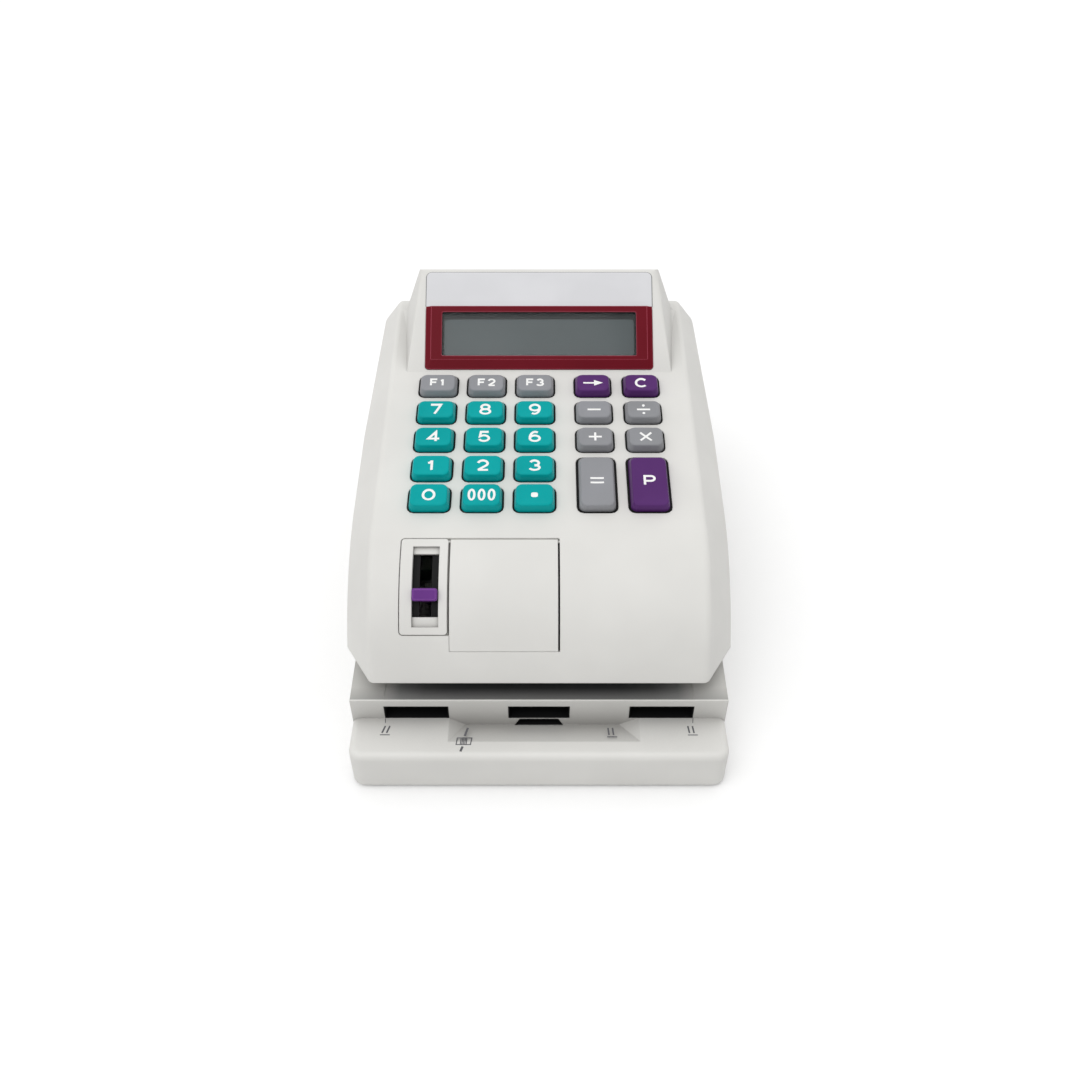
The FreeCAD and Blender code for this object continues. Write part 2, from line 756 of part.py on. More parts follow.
def make_lever():
    pivot_y, pivot_z = lever_pivot()
    lean, reach = lever_direction()
    arm = box(both_sides(arm_width / 2), both_sides(arm_thick / 2), (0.0, reach + 1.0))
    knob = slab(knob_width, knob_span, 1.2, (reach + clear, reach + knob_height))
    knob = knob.makeChamfer(0.7, [e for e in knob.Edges if e.BoundBox.ZMin > reach + knob_height - touch])
    hub = rod_x(0, 0, hub_radius, both_sides(arm_width / 2))
    pin = rod_x(0, fork_radius, fork_pin, (0.0, arm_width / 2 + 4.6))
    bore = rod_x(0, 0, pivot_radius + running, both_sides(arm_width))
    lever = fused([arm, knob, hub, pin]).cut(bore)
    turn = FreeCAD.Rotation(V(1, 0, 0), math.degrees(lean))
    spot = FreeCAD.Placement(V(lever_x, pivot_y, pivot_z), turn)
    save("line_lever", lever.transformed(spot.toMatrix(), True))


def make_pivot_pins():
    pivot_y, pivot_z = lever_pivot()
    reach = arm_width / 2 + clear + ear_thick
    lever_pin = rod_x(pivot_y, pivot_z, pivot_radius, (lever_x - reach, lever_x + reach))
    arm_pin = rod_y(feed_x + pinch_arm_reach, pinch_pivot_z, pinch_axle_radius,
                    (frame_front_y - 0.8, frame_rear_y + sheet + 0.8))
    save("pivot_pins", Part.makeCompound([lever_pin, arm_pin]))


def make_lever_bezel():
    radii = (crown_radius - wall, crown_radius)
    gap = arc_degrees(seam, crown_radius)
    frame = crown_sector((lever_bezel_x[0] + seam, lever_bezel_x[1] - ink_side_gap),
                         (lever_bezel_angles[0] + gap, lever_bezel_angles[1] - gap), radii)
    frame = frame.makeFillet(lever_bezel_corner - seam, radial_edges(frame))
    ledge = crown_sector((lever_bezel_x[0] - 2.0, lever_bezel_x[1] - seam),
                         (lever_bezel_angles[0] - 2.0, lever_bezel_angles[1] + 2.0),
                         (crown_radius - wall - 1.5, crown_radius - wall))
    slot_x = (lever_x - slot_width / 2, lever_x + slot_width / 2)
    slot = crown_sector(slot_x, slot_angles, (crown_radius - 3 * wall, crown_radius + cut_over))
    recess = crown_sector(slot_x, recess_angles, (crown_radius - recess_depth, crown_radius + cut_over))
    tray_x = (slot_x[0] - 1.6, slot_x[1] + 1.6)
    tray_radii = (crown_radius - wall - 1.5, crown_radius - wall)
    tray_room = crown_sector(tray_x, recess_angles, (tray_radii[0] - cut_over, tray_radii[1]))
    hinge_y, hinge_z = ink_hinge()
    pin_room = rod_x(hinge_y, hinge_z, ink_pin + running, (ink_cover_x[0] - ink_pin_length, ink_cover_x[0]))
    save("lever_bezel", minus(frame.fuse(ledge), [slot, recess, tray_room, pin_room]))
    slit_x = (lever_x - arm_width / 2 - clear, lever_x + arm_width / 2 + clear)
    slit = crown_sector(slit_x, (slot_angles[0] - 1.5, slot_angles[1] + 2.5),
                        (tray_radii[0] - cut_over, tray_radii[1] + cut_over))
    save("lever_guide", crown_sector(tray_x, recess_angles, tray_radii).cut(slit))


# ---- Ink cover ----
def ink_hinge():
    """The barrel lies along the cover's upper edge."""
    return crown_point(ink_cover_angles[0] + arc_degrees(wall / 2 + ink_hinge_gap, crown_radius),
                       crown_radius - wall / 2)


def make_ink_cover():
    x_span = (ink_cover_x[0] + ink_seam, ink_cover_x[1] - ink_side_gap)
    start = ink_cover_angles[0] + arc_degrees(wall / 2 + ink_hinge_gap, crown_radius)
    end = ink_cover_angles[1] - arc_degrees(ink_seam, crown_radius)
    skin = crown_sector(x_span, (start, end), (crown_radius - wall, crown_radius))
    hinge_y, hinge_z = ink_hinge()
    barrel = rod_x(hinge_y, hinge_z, wall / 2, x_span)
    pins = rod_x(hinge_y, hinge_z, ink_pin,
                 (ink_cover_x[0] - ink_pin_length + clear, ink_cover_x[1] + ink_pin_length - clear))
    ribs = []
    for share in (0.25, 0.75):
        x = x_span[0] + share * (x_span[1] - x_span[0])
        ribs.append(crown_sector((x - 0.8, x + 0.8), (start + 6, end - 6),
                                 (crown_radius - wall - 2.0, crown_radius - wall)))
    save("ink_cover", fused([skin, barrel, pins] + ribs))


# ---- Gears ----
def gear(teeth, width, bore, tooth_at):
    """Spur gear with straight flanks, axis along y, one tooth centred on tooth_at (radians)."""
    pitch_radius = gear_module * teeth / 2
    tip = pitch_radius + 0.9 * gear_module
    root = pitch_radius - 1.2 * gear_module
    pitch = 2 * math.pi / teeth
    root_half = pitch * (0.36 - gear_play)
    tip_half = pitch * (0.20 - gear_play)
    points = []
    for tooth in range(teeth):
        middle = tooth_at + tooth * pitch
        for radius, offset in ((root, -root_half), (tip, -tip_half), (tip, tip_half), (root, root_half)):
            points.append((radius * math.cos(middle + offset), radius * math.sin(middle + offset)))
    body = front_prism(points, (0.0, width))
    return body.cut(rod_y(0, 0, bore, (-cut_over, width + cut_over)))


def gear_pair(axis_x, axis_z, bearing, y, shaft):
    """A wheel on its shaft and the motor pinion that drives it, in mesh."""
    reach = gear_module * (gear_teeth + pinion_teeth) / 2
    turn = math.radians(bearing)
    wheel = gear(gear_teeth, gear_width, shaft, turn + math.pi / gear_teeth)
    wheel.translate(V(axis_x, y, axis_z))
    pinion = gear(pinion_teeth, gear_width, motor_shaft, turn + math.pi)
    motor_x = axis_x + reach * math.cos(turn)
    motor_z = axis_z + reach * math.sin(turn)
    pinion.translate(V(motor_x, y, motor_z))
    return wheel, pinion, motor_x, motor_z


def motor(x, z, y):
    """Small can motor whose face is at y, with its mounting spigot."""
    can = rod_y(x, z, motor_radius, (y, y + motor_length))
    flats = [box((x - 2 * motor_radius, x + 2 * motor_radius), (y - 1, y + motor_length + 1),
                 (z + side * motor_radius * 0.85 if side > 0 else z - 2 * motor_radius,
                  z + 2 * motor_radius if side > 0 else z - motor_radius * 0.85)) for side in (-1, 1)]
    body = minus(can, flats)
    cap = rod_y(x, z, motor_radius * 0.45, (y + motor_length, y + motor_length + 2.0))
    bore = rod_y(x, z, motor_shaft + running, (y - 1, y + motor_length * 0.6))
    return body.fuse(cap).cut(bore)


# ---- Print unit in the head ----
def wheel_centre():
    return print_x, throat_top + wheel_lift + wheel_radius


def ink_centre():
    x, z = wheel_centre()
    reach = wheel_radius + ink_radius + clear
    turn = math.radians(ink_bearing)
    return x + reach * math.cos(turn), z + reach * math.sin(turn)


def type_gear_y():
    return frame_rear_y - clear - 0.5 - gear_width


def make_print_unit():
    x, z = wheel_centre()
    drum = rod_y(x, z, wheel_radius - type_height, wheel_y)
    raised = []
    for index in range(type_count):
        turn = 360.0 * index / type_count
        block = box(both_sides(1.6), (wheel_y[0] + 1.5, wheel_y[1] - 1.5), (wheel_radius - 2.0, wheel_radius))
        block.rotate(V(0, 0, 0), V(0, 1, 0), turn)
        block.translate(V(x, 0, z))
        raised.append(block)
    sleeve = rod_y(x, z, sleeve_radius, (wheel_y[0], type_gear_y() + gear_width))
    bore = rod_y(x, z, type_shaft_radius, (wheel_y[0] - 1, frame_rear_y))
    wheel, pinion, motor_x, motor_z = gear_pair(x, z, drive_bearing, type_gear_y(), type_shaft_radius)
    save("type_wheel", drum.multiFuse(raised + [sleeve, wheel]).removeSplitter().cut(bore))
    save("type_shaft", rod_y(x, z, type_shaft_radius, (frame_front_y - 1.0, frame_rear_y + sheet - clear)))
    motor_face = frame_rear_y + sheet
    save("type_motor", motor(motor_x, motor_z, motor_face))
    arbor = rod_y(motor_x, motor_z, motor_shaft, (type_gear_y() - 1.0, motor_face + motor_length * 0.5))
    save("type_pinion", pinion.fuse(arbor).removeSplitter())
    ink_x, ink_z = ink_centre()
    foam = rod_y(ink_x, ink_z, ink_radius, (wheel_y[0] - 2, wheel_y[1] + 2))
    core = rod_y(ink_x, ink_z, ink_core_radius, (wheel_y[0] - 3.5, wheel_y[1] + 5))
    axle = rod_y(ink_x, ink_z, ink_axle_radius, (frame_front_y - 0.8, frame_rear_y + sheet + 0.8))
    save("ink_roller", fused([foam, core, axle]))


def head_windows(z_span):
    """Cut-outs that the guide and the steel frame above it share."""
    x, z = wheel_centre()
    chord = wheel_radius + 1.0
    type_window = box((x - chord, x + chord), (wheel_y[0] - 1.0, wheel_y[1] + 1.0), z_span)
    rest_x, rest_z = pinch_centre()
    pinch = box((rest_x - pinch_radius - 1.2, feed_x + pinch_radius + 1.2),
                (tyre_y[0][0] - 0.8, tyre_y[1][1] + 0.8), z_span)
    return [type_window, pinch]


def make_head_frame():
    floor_z = (throat_top + guide_thick, throat_top + guide_thick + sheet)
    floor = box(frame_x, (frame_front_y, frame_rear_y + sheet), floor_z)
    windows = head_windows((floor_z[0] - 1, floor_z[1] + 1))
    x, z = wheel_centre()
    gear_reach = gear_module * gear_teeth / 2 + 2 * gear_module
    windows.append(box((x - gear_reach, x + gear_reach), (wheel_y[0], type_gear_y() + gear_width + 0.5),
                       (floor_z[0] - 1, floor_z[1] + 1)))
    ink_x, ink_z = ink_centre()
    pivot_x = feed_x + pinch_arm_reach
    plates = []
    for y, top in ((frame_front_y, frame_front_top), (frame_rear_y, frame_rear_top)):
        side_top = pinch_pivot_z + 4.0
        upright = [(frame_x[0], floor_z[0]), (frame_x[1], floor_z[0]), (frame_x[1], side_top),
                   (feed_x - 8, side_top), (ink_x + 6, top), (frame_x[0], top - 6)]
        plates.append(front_prism(upright, (y, y + sheet)))
    reach = gear_module * (gear_teeth + pinion_teeth) / 2
    turn = math.radians(drive_bearing)
    span = (frame_front_y - 1, frame_rear_y + sheet + 1)
    holes = [rod_y(x, z, type_shaft_radius + running, span),
             rod_y(ink_x, ink_z, ink_axle_radius + running, span),
             rod_y(pivot_x, pinch_pivot_z, pinch_axle_radius + running, span),
             rod_y(x + reach * math.cos(turn), z + reach * math.sin(turn), motor_shaft + 1.0,
                   (frame_rear_y - 1, frame_rear_y + sheet + 1))]
    save("head_frame", minus(fused([floor] + plates), windows + holes))


def make_upper_guide():
    inner = head_form(wall + 0.1)
    low = throat_top
    sheet_box = box((-head_half, head_half), (0.0, guide_rear_y), (low, low + guide_thick))
    guide = inner.common(sheet_box)
    windows = head_windows((low - 1, low + guide_thick + 1))
    slots = [box((x - finger_width / 2 - clear, x + finger_width / 2 + clear),
                 (stop_y - stop_travel[0] - 0.5, stop_y + finger_thick + stop_travel[1] + 0.5),
                 (low - 1, low + guide_thick + 1)) for x in stop_x]
    pivot_y, pivot_z = lever_pivot()
    ears = []
    for side in (-1, 1):
        inner_x = lever_x + side * (arm_width / 2 + clear)
        x_span = sorted((inner_x, inner_x + side * ear_thick))
        foot = box(x_span, (pivot_y - ear_radius, pivot_y + ear_radius), (low + guide_thick - 0.5, pivot_z))
        ears.append(foot.fuse(rod_x(pivot_y, pivot_z, ear_radius, x_span)))
    bore = rod_x(pivot_y, pivot_z, pivot_radius, (lever_x - 10, lever_x + 10))
    hub_room = rod_x(pivot_y, pivot_z, hub_radius + clear,
                     (lever_x - arm_width / 2 - clear, lever_x + arm_width / 2 + clear))
    save("upper_guide", minus(fused([guide] + ears), windows + slots + [bore, hub_room]))


# ---- Paper stop ----
def make_paper_stop():
    low = throat_top + guide_thick + clear
    bar = box((stop_x[0] - 5, stop_x[2] + 5), (stop_y, stop_y + stop_bar_length), (low, low + 2.0))
    fingers = [box((x - finger_width / 2, x + finger_width / 2), (stop_y, stop_y + finger_thick),
                   (deck_top + 0.5, low + 1.0)) for x in stop_x]
    pivot_y, pivot_z = lever_pivot()
    lean, reach = lever_direction()
    pin_y = pivot_y - fork_radius * math.sin(lean)
    pin_z = pivot_z + fork_radius * math.cos(lean)
    x0 = lever_x + arm_width / 2 + clear + ear_thick + clear
    ear_x = (x0, x0 + fork_sheet)
    outline = [(stop_y + stop_bar_length, low), (stop_y + stop_bar_length, low + 6), (pin_y + 6, pin_z + 7),
               (pin_y - 4.5, pin_z + 7), (pin_y - 4.5, pin_z - 6), (pin_y + 4.5, pin_z - 6),
               (stop_y - 4, low + 2), (stop_y, low)]
    ear = side_prism(outline, ear_x)
    half = fork_pin + fork_slack
    fork = box((x0 - 1, x0 + fork_sheet + 1), (pin_y - half, pin_y + half), (pin_z - 4.4, pin_z + 8))
    save("paper_stop", fused([bar, ear.cut(fork)] + fingers))


# ---- Pinch rollers on their swinging arm ----
def pinch_centre():
    """Roller axis at rest: the gripping place, swung up about the arm's pivot."""
    feed_z = feed_centre()[1]
    pivot_x = feed_x + pinch_arm_reach
    x = -pinch_arm_reach
    z = feed_z + tyre_radius + pinch_radius + clear - pinch_pivot_z
    turn = math.radians(pinch_swing)
    return (pivot_x + x * math.cos(turn) + z * math.sin(turn),
            pinch_pivot_z - x * math.sin(turn) + z * math.cos(turn))


def make_pinch():
    pivot_x = feed_x + pinch_arm_reach
    x, z = pinch_centre()
    shoulder = pinch_pivot_z - arm_half
    outline = [(x - arm_half, z - arm_half), (x + arm_half, z - arm_half), (x + arm_half + 1.5, shoulder),
               (pivot_x + arm_half, shoulder), (pivot_x + arm_half, pinch_pivot_z + arm_half),
               (x, pinch_pivot_z + arm_half), (x - arm_half, shoulder)]
    cheek_y = (tyre_y[0][1] + 1.0, tyre_y[1][0] - 1.0 - arm_plate)
    cheek_plates = [front_prism(outline, (y, y + arm_plate)) for y in cheek_y]
    bridge = box((pivot_x - 16, pivot_x - 8), (cheek_y[0], cheek_y[1] + arm_plate),
                 (pinch_pivot_z + 1.0, pinch_pivot_z + arm_half))
    y_span = (frame_front_y + sheet + clear, frame_rear_y - clear)
    tube = rod_y(pivot_x, pinch_pivot_z, arm_half, y_span)
    holes = [rod_y(pivot_x, pinch_pivot_z, pinch_axle_radius + running, (y_span[0] - 1, y_span[1] + 1)),
             rod_y(x, z, pinch_axle_radius + running, y_span)]
    save("pinch_arm", minus(fused(cheek_plates + [bridge, tube]), holes))
    axle = rod_y(x, z, pinch_axle_radius, (tyre_y[0][0], tyre_y[1][1]))
    rollers = [rod_y(x, z, pinch_radius, span) for span in tyre_y]
    save("pinch_roller", fused([axle] + rollers))


# ---- Base ----
def base_profile(inset):
    """Side outline of the base: table, riser, deck and the rear block."""
    low = foot_height - (cut_over if inset else 0.0)
    high = throat_top + (cut_over if inset else 0.0)
    return [(inset, low), (inset, table_top - inset), (table_depth + inset, table_top - inset),
            (table_depth + inset, deck_top - inset), (throat_back + inset, deck_top - inset),
            (throat_back + inset, high), (machine_depth - inset, high), (machine_depth - inset, low)]


def base_plan(front_y, inset, z_span):
    return plan_prism(front_y, (base_half, base_rear_half), inset, z_span, front_corner, base_rear_corner)


def base_form(inset):
    prism = side_prism(base_profile(inset), (-base_half, base_half))
    plan = base_plan(inset, inset, (0.0, throat_top + 2 * cut_over))
    return prism.common(plan)


def scoop(drop, back):
    """Finger scoop in the table, deepest at the riser."""
    top = table_top + cut_over - drop
    floor = table_top - scoop_depth - drop
    side = (top - floor) / scoop_depth
    left = scoop_floor[0] + (scoop_rim[0] - scoop_floor[0]) * side
    right = scoop_floor[1] + (scoop_rim[1] - scoop_floor[1]) * side
    front = table_depth - scoop_run
    trough = front_prism([(scoop_floor[0], floor), (scoop_floor[1], floor), (right, top), (left, top)],
                         (front - 5, back))
    slope = scoop_depth / scoop_run
    wedge = side_prism([(front - cut_over / slope, top), (back, floor - slope * (back - table_depth)),
                        (back, top)], (left, right))
    return trough.common(wedge)


def cheeks():
    """Slightly raised borders of the deck beside the check's path."""
    outline = [(table_depth, deck_top), (table_depth + cheek_run, deck_top + cheek_rise),
               (throat_back, deck_top + cheek_rise), (throat_back, deck_top - wall / 2),
               (table_depth, deck_top - wall / 2)]
    plan = base_plan(0.0, 0.0, (0.0, throat_top))
    spans = [sorted((side * cheek_x, side * base_half)) for side in (-1, 1)]
    return [side_prism(outline, x_span).common(plan) for x_span in spans]


def feed_centre():
    return feed_x, deck_top + tyre_proud - tyre_radius


def deck_windows():
    z_span = (deck_top - wall - 1, deck_top + cheek_rise + 1)
    half = math.sqrt(tyre_radius ** 2 - (tyre_radius - wall - tyre_proud) ** 2) + 0.6
    slots = [box((feed_x - half, feed_x + half), (y0 - 0.6, y1 + 0.6), z_span) for y0, y1 in tyre_y]
    y = (wheel_y[0] + wheel_y[1]) / 2
    width = platen_size[0] / 2 + platen_gap
    length = platen_size[1] / 2 + platen_gap
    slots.append(box((print_x - width, print_x + width), (y - length, y + length), z_span))
    return slots


def make_base_case():
    outer = base_form(0.0)
    front = [e for e in outer.Edges if e.BoundBox.ZMin > table_top - touch and e.BoundBox.ZMax < table_top + touch
             and e.BoundBox.YMax < front_corner + 1]
    outer = outer.makeFillet(base_edge, front)
    shell = outer.cut(base_form(wall))
    shell = shell.fuse(scoop(wall, table_depth + wall).common(outer))
    shell = shell.fuse(Part.makeCompound(cheeks()))
    posts = []
    for side in (-1, 1):
        posts.append(rod_z(side * post_x, front_post_y, boss_radius, (floor_top, deck_top - wall / 2)))
        for x, y in head_posts:
            reach = sorted((side * x, side * (base_half - wall / 2)))
            post = rod_z(side * x, y, boss_radius, (floor_top, throat_top))
            rib = box(reach, (y - wall / 2, y + wall / 2), (floor_top, throat_top))
            posts.append(post.fuse(rib).common(outer))
    shell = shell.fuse(Part.makeCompound(posts)).removeSplitter()
    cutters = [scoop(0.0, table_depth)] + deck_windows()
    riser_y = (table_depth - cut_over, table_depth + wall + touch)
    cutters += riser_holes(riser_y, window_sleeve)
    for side in (-1, 1):
        cutters.append(rod_z(side * post_x, front_post_y, screw_radius + running, (foot_height, deck_top - wall)))
        for x, y in head_posts:
            cutters.append(rod_z(side * x, y, screw_radius + running, (foot_height, throat_top + 1)))
    cutters.append(box((inlet_x - inlet_width / 2, inlet_x + inlet_width / 2),
                       (machine_depth - wall - 1, machine_depth + 1),
                       (inlet_z - inlet_height / 2, inlet_z + inlet_height / 2)))
    return minus(shell, cutters).removeSplitter()


def riser_holes(y_span, margin):
    """The three windows and the notch below the middle one, each widened by a margin."""
    holes = []
    for left, right in riser_windows:
        holes.append(box((left - margin, right + margin), y_span, (window_low - margin, window_high + margin)))
    foot = table_top - scoop_depth
    low = notch_half + margin
    high = notch_top_half + margin
    top = foot + notch_height + margin
    holes.append(front_prism([(-low, foot - margin), (low, foot - margin), (high, top), (-high, top)], y_span))
    return holes


def make_slot_liner():
    """Black moulding behind the riser: a pocket for each window, with a rim that fills the riser's cut."""
    y0 = table_depth + wall
    back = y0 + pocket_depth
    block = box((riser_windows[0][0] - pocket_wall, riser_windows[2][1] + pocket_wall), (y0, back + pocket_wall),
                (window_low - pocket_wall, deck_top - wall - clear))
    foot = table_top - scoop_depth
    lower = box((-notch_half - pocket_wall, notch_half + pocket_wall), (y0, y0 + notch_depth + pocket_wall),
                (foot - pocket_wall, window_low))
    rims = riser_holes((table_depth, y0), window_sleeve - running)
    pockets = riser_holes((table_depth - cut_over, back), 0.0)
    pockets[-1] = pockets[-1].common(box(both_sides(notch_half), (0.0, y0 + notch_depth), (0.0, window_low)))
    return minus(block.multiFuse([lower] + rims), pockets).removeSplitter()


def make_bottom_plate(board_screws):
    plan = base_plan(wall + clear, wall + clear, (foot_height, floor_top))
    holes = []
    for x, y in ((post_x, front_post_y),) + head_posts:
        for side in (-1, 1):
            holes.append(rod_z(side * x, y, screw_radius + screw_play, (0, 10)))
            holes.append(rod_z(side * x, y, screw_head + screw_play, (0, foot_height + screw_head_height - 0.6)))
    plate = minus(plan, holes)
    save("bottom_plate", fused([plate, motor_cradle()] + board_pegs()))
    screws = []
    for x, y in ((post_x, front_post_y),) + head_posts:
        top = deck_top - wall - 2 if y == front_post_y else throat_top + head_boss_height - 4
        for side in (-1, 1):
            z = foot_height + screw_head_height - 0.6
            head = rod_z(side * x, y, screw_head, (z - screw_head_height + 0.8, z))
            screws.append(head.fuse(rod_z(side * x, y, screw_radius, (z - 0.1, top))))
    save("screws", Part.makeCompound(screws + board_screws))
    feet = []
    for x, y in foot_places:
        for side in (-1, 1):
            foot = rod_z(side * x, y, foot_radius, (0.0, foot_height))
            low_rim = [e for e in foot.Edges if e.BoundBox.ZMax < touch]
            feet.append(foot.makeChamfer(0.6, low_rim))
    save("rubber_feet", Part.makeCompound(feet))


# ---- Feed unit and platen in the base ----
def feed_gear_y():
    """The feed gear turns in the rear block, behind the back wall of the check slot."""
    return throat_back + wall + 2 * clear


def make_feed_unit():
    x, z = feed_centre()
    front, rear = feed_frame_y
    floor_z = (floor_top, floor_top + sheet)
    floor = box(feed_frame_x, (front, rear + sheet), floor_z)
    plates = [box(feed_frame_x, (y, y + sheet), (floor_z[0], deck_top - wall - clear)) for y in (front, rear)]
    gear_y = feed_gear_y()
    wheel, pinion, motor_x, motor_z = gear_pair(x, z, -drive_bearing, gear_y, feed_shaft_radius)
    shaft_span = (front - 1.0, gear_y + gear_width + clear)
    holes = [rod_y(x, z, feed_shaft_radius + running, (front - 1, rear + sheet + 1))]
    face = gear_y + gear_width + clear + 0.5
    save("feed_frame", minus(fused([floor] + plates), holes))
    save("feed_shaft", rod_y(x, z, feed_shaft_radius, shaft_span))
    tyres = [rod_y(x, z, tyre_radius, span).cut(rod_y(x, z, feed_shaft_radius, span)) for span in tyre_y]
    save("feed_tyres", Part.makeCompound(tyres))
    save("feed_gear", wheel)
    arbor = rod_y(motor_x, motor_z, motor_shaft, (gear_y - 1.0, face + motor_length * 0.5))
    save("feed_pinion", pinion.fuse(arbor).removeSplitter())
    save("feed_motor", motor(motor_x, motor_z, face))


def motor_cradle():
    """Moulded saddle on the bottom plate under the feed motor."""
    x, z = feed_centre()
    reach = gear_module * (gear_teeth + pinion_teeth) / 2
    turn = math.radians(-drive_bearing)
    motor_x = x + reach * math.cos(turn)
    motor_z = z + reach * math.sin(turn)
    face = feed_gear_y() + gear_width + clear + 0.5
    stand = box((motor_x - 12, motor_x + 12), (face + 4, face + motor_length - 4),
                (floor_top, motor_z - 3))
    flat_z = motor_z - motor_radius * 0.85
    room = rod_y(motor_x, motor_z, motor_radius, (face, face + motor_length))
    below = box((motor_x - 12, motor_x + 12), (face, face + motor_length), (0, flat_z))
    return stand.cut(room.cut(below))


def make_platen():
    y = (wheel_y[0] + wheel_y[1]) / 2
    top = deck_top - 0.2
    pad = slab(platen_size[0], platen_size[1], 0.6, (top - platen_thick, top), (print_x, y))
    coil_z = (floor_top, floor_top + coil_height)
    stem = rod_z(print_x, y, rod_radius, (coil_z[0] + 2.0, top - platen_thick + 0.5))
    save("platen", pad.fuse(stem))
    coil = rod_z(print_x, y, coil_radius, coil_z)
    flanges = [rod_z(print_x, y, coil_radius + 1.5, span)
               for span in ((coil_z[0], coil_z[0] + 1.5), (coil_z[1] - 1.5, coil_z[1]))]
    bore = rod_z(print_x, y, rod_radius + running, (coil_z[0] + 1.0, coil_z[1] + 1))
    save("platen_coil", fused([coil] + flanges).cut(bore))


def board_pegs():
    return [rod_z(x, y, 3.0, (floor_top, board_z))
            for x in both_sides(board_x - 6) for y in (board_y[0] + 6, board_y[1] - 6)]


def make_electrics():
    board = box(both_sides(board_x), board_y, (board_z, board_z + board_thick))
    save("main_board", board)
    body = box((inlet_x - inlet_width / 2 + 0.1, inlet_x + inlet_width / 2 - 0.1),
               (machine_depth - inlet_depth, machine_depth - 0.3),
               (inlet_z - inlet_height / 2 + 0.1, inlet_z + inlet_height / 2 - 0.1))
    socket = rod_y(inlet_x, inlet_z, jack_radius, (machine_depth - 11, machine_depth))
    pin = rod_y(inlet_x, inlet_z, plug_pin_radius, (machine_depth - 12, machine_depth - 1.5))
    save("power_inlet", body.cut(socket).fuse(pin))


# ---- Build ----
os.makedirs("parts", exist_ok=True)
make_keys()
save("top_cover", make_top_cover())
make_display()
board_screws = make_keyboard()
make_lever()
make_pivot_pins()
make_lever_bezel()
make_ink_cover()
make_print_unit()
make_head_frame()
make_upper_guide()
make_paper_stop()
make_pinch()
save("base_case", make_base_case())
save("slot_liner", make_slot_liner())
make_bottom_plate(board_screws)
make_feed_unit()
make_platen()
make_electrics()
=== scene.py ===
# %% [markdown]
# # A desk check writer, dressed for a studio
# The machine's solids come in ready made, each on the body that it moves with. This script gives them
# their finishes, and builds in mesh code what the solids leave plain: dished key caps, their printed
# signs, the marks on the table, and the thin parts round the display. Lengths are written in
# millimetres, because that is how such a machine is drawn, and turned to metres when a mesh is made.

# %% Load the machine
import json
import math

import bpy
from mathutils import Matrix, Vector


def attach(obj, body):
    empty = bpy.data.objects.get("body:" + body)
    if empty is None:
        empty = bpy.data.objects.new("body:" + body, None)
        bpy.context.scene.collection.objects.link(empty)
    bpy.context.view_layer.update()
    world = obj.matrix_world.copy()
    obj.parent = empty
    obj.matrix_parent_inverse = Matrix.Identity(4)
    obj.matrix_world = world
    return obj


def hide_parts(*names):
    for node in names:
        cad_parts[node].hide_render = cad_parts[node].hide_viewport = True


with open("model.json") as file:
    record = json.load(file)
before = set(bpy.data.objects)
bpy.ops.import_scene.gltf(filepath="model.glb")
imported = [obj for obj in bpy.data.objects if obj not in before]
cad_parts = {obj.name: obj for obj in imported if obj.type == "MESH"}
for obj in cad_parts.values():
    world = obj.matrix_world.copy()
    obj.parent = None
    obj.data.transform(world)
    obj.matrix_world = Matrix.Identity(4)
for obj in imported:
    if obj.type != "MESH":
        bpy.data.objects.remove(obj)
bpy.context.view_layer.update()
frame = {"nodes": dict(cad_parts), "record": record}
scene = bpy.context.scene

# %% [markdown]
# ## The camera
# The operator sits in front and looks down at the keys, so the camera stands 43 degrees above the
# table. A lens of about 34 mm keeps the keyboard's rows shrinking towards the display as they do from
# a chair. The camera comes first, because every other choice is judged through it.

# %% Camera
ELEVATION = 43.0
camera_data = bpy.data.cameras.new("desk_camera")
camera_data.lens = 34.33
camera_data.sensor_width = 36.0
camera = bpy.data.objects.new("desk_camera", camera_data)
camera.location = (0.0005, -0.4183, 0.434)
camera.rotation_euler = (math.radians(90.0 - ELEVATION), 0.0, 0.0)
scene.collection.objects.link(camera)
scene.camera = camera
print("camera at", tuple(camera.location))

# %% [markdown]
# ## Colour and node helpers
# Colours are written as they are seen on a screen, in hex, but a renderer adds up light, so each is
# turned to linear values first. One function adds a node, sets it and links it, which keeps every
# material below to a few lines.

# %% Helpers for colours and nodes
MM = 0.001
# The solids are centred on the world's origin; lengths along Y below count from the front edge.
FRONT_EDGE = -131.0


def colour(code):
    """A screen colour such as "E1E0DC" as linear red, green, blue and alpha."""
    parts = [int(code[start:start + 2], 16) / 255 for start in (0, 2, 4)]
    linear = [part / 12.92 if part <= 0.04045 else ((part + 0.055) / 1.055) ** 2.4 for part in parts]
    return linear + [1.0]


def node(tree, kind, inputs=(), **settings):
    """Add one node. Settings are its own properties; inputs are values or sockets to link from."""
    made = tree.nodes.new(kind)
    for name, value in settings.items():
        setattr(made, name, value)
    for name, value in dict(inputs).items():
        if isinstance(value, bpy.types.NodeSocket):
            tree.links.new(value, made.inputs[name])
        else:
            made.inputs[name].default_value = value
    return made


def surface(name, **inputs):
    """A new material with one Principled shader, whose sockets are set by name."""
    made = bpy.data.materials.new(name)
    made.use_nodes = True
    shader = made.node_tree.nodes["Principled BSDF"]
    for socket, value in inputs.items():
        shader.inputs[socket.replace("_", " ")].default_value = value
    return made, made.node_tree, shader


print("off-white as linear light:", [round(part, 3) for part in colour("E1E0DC")])

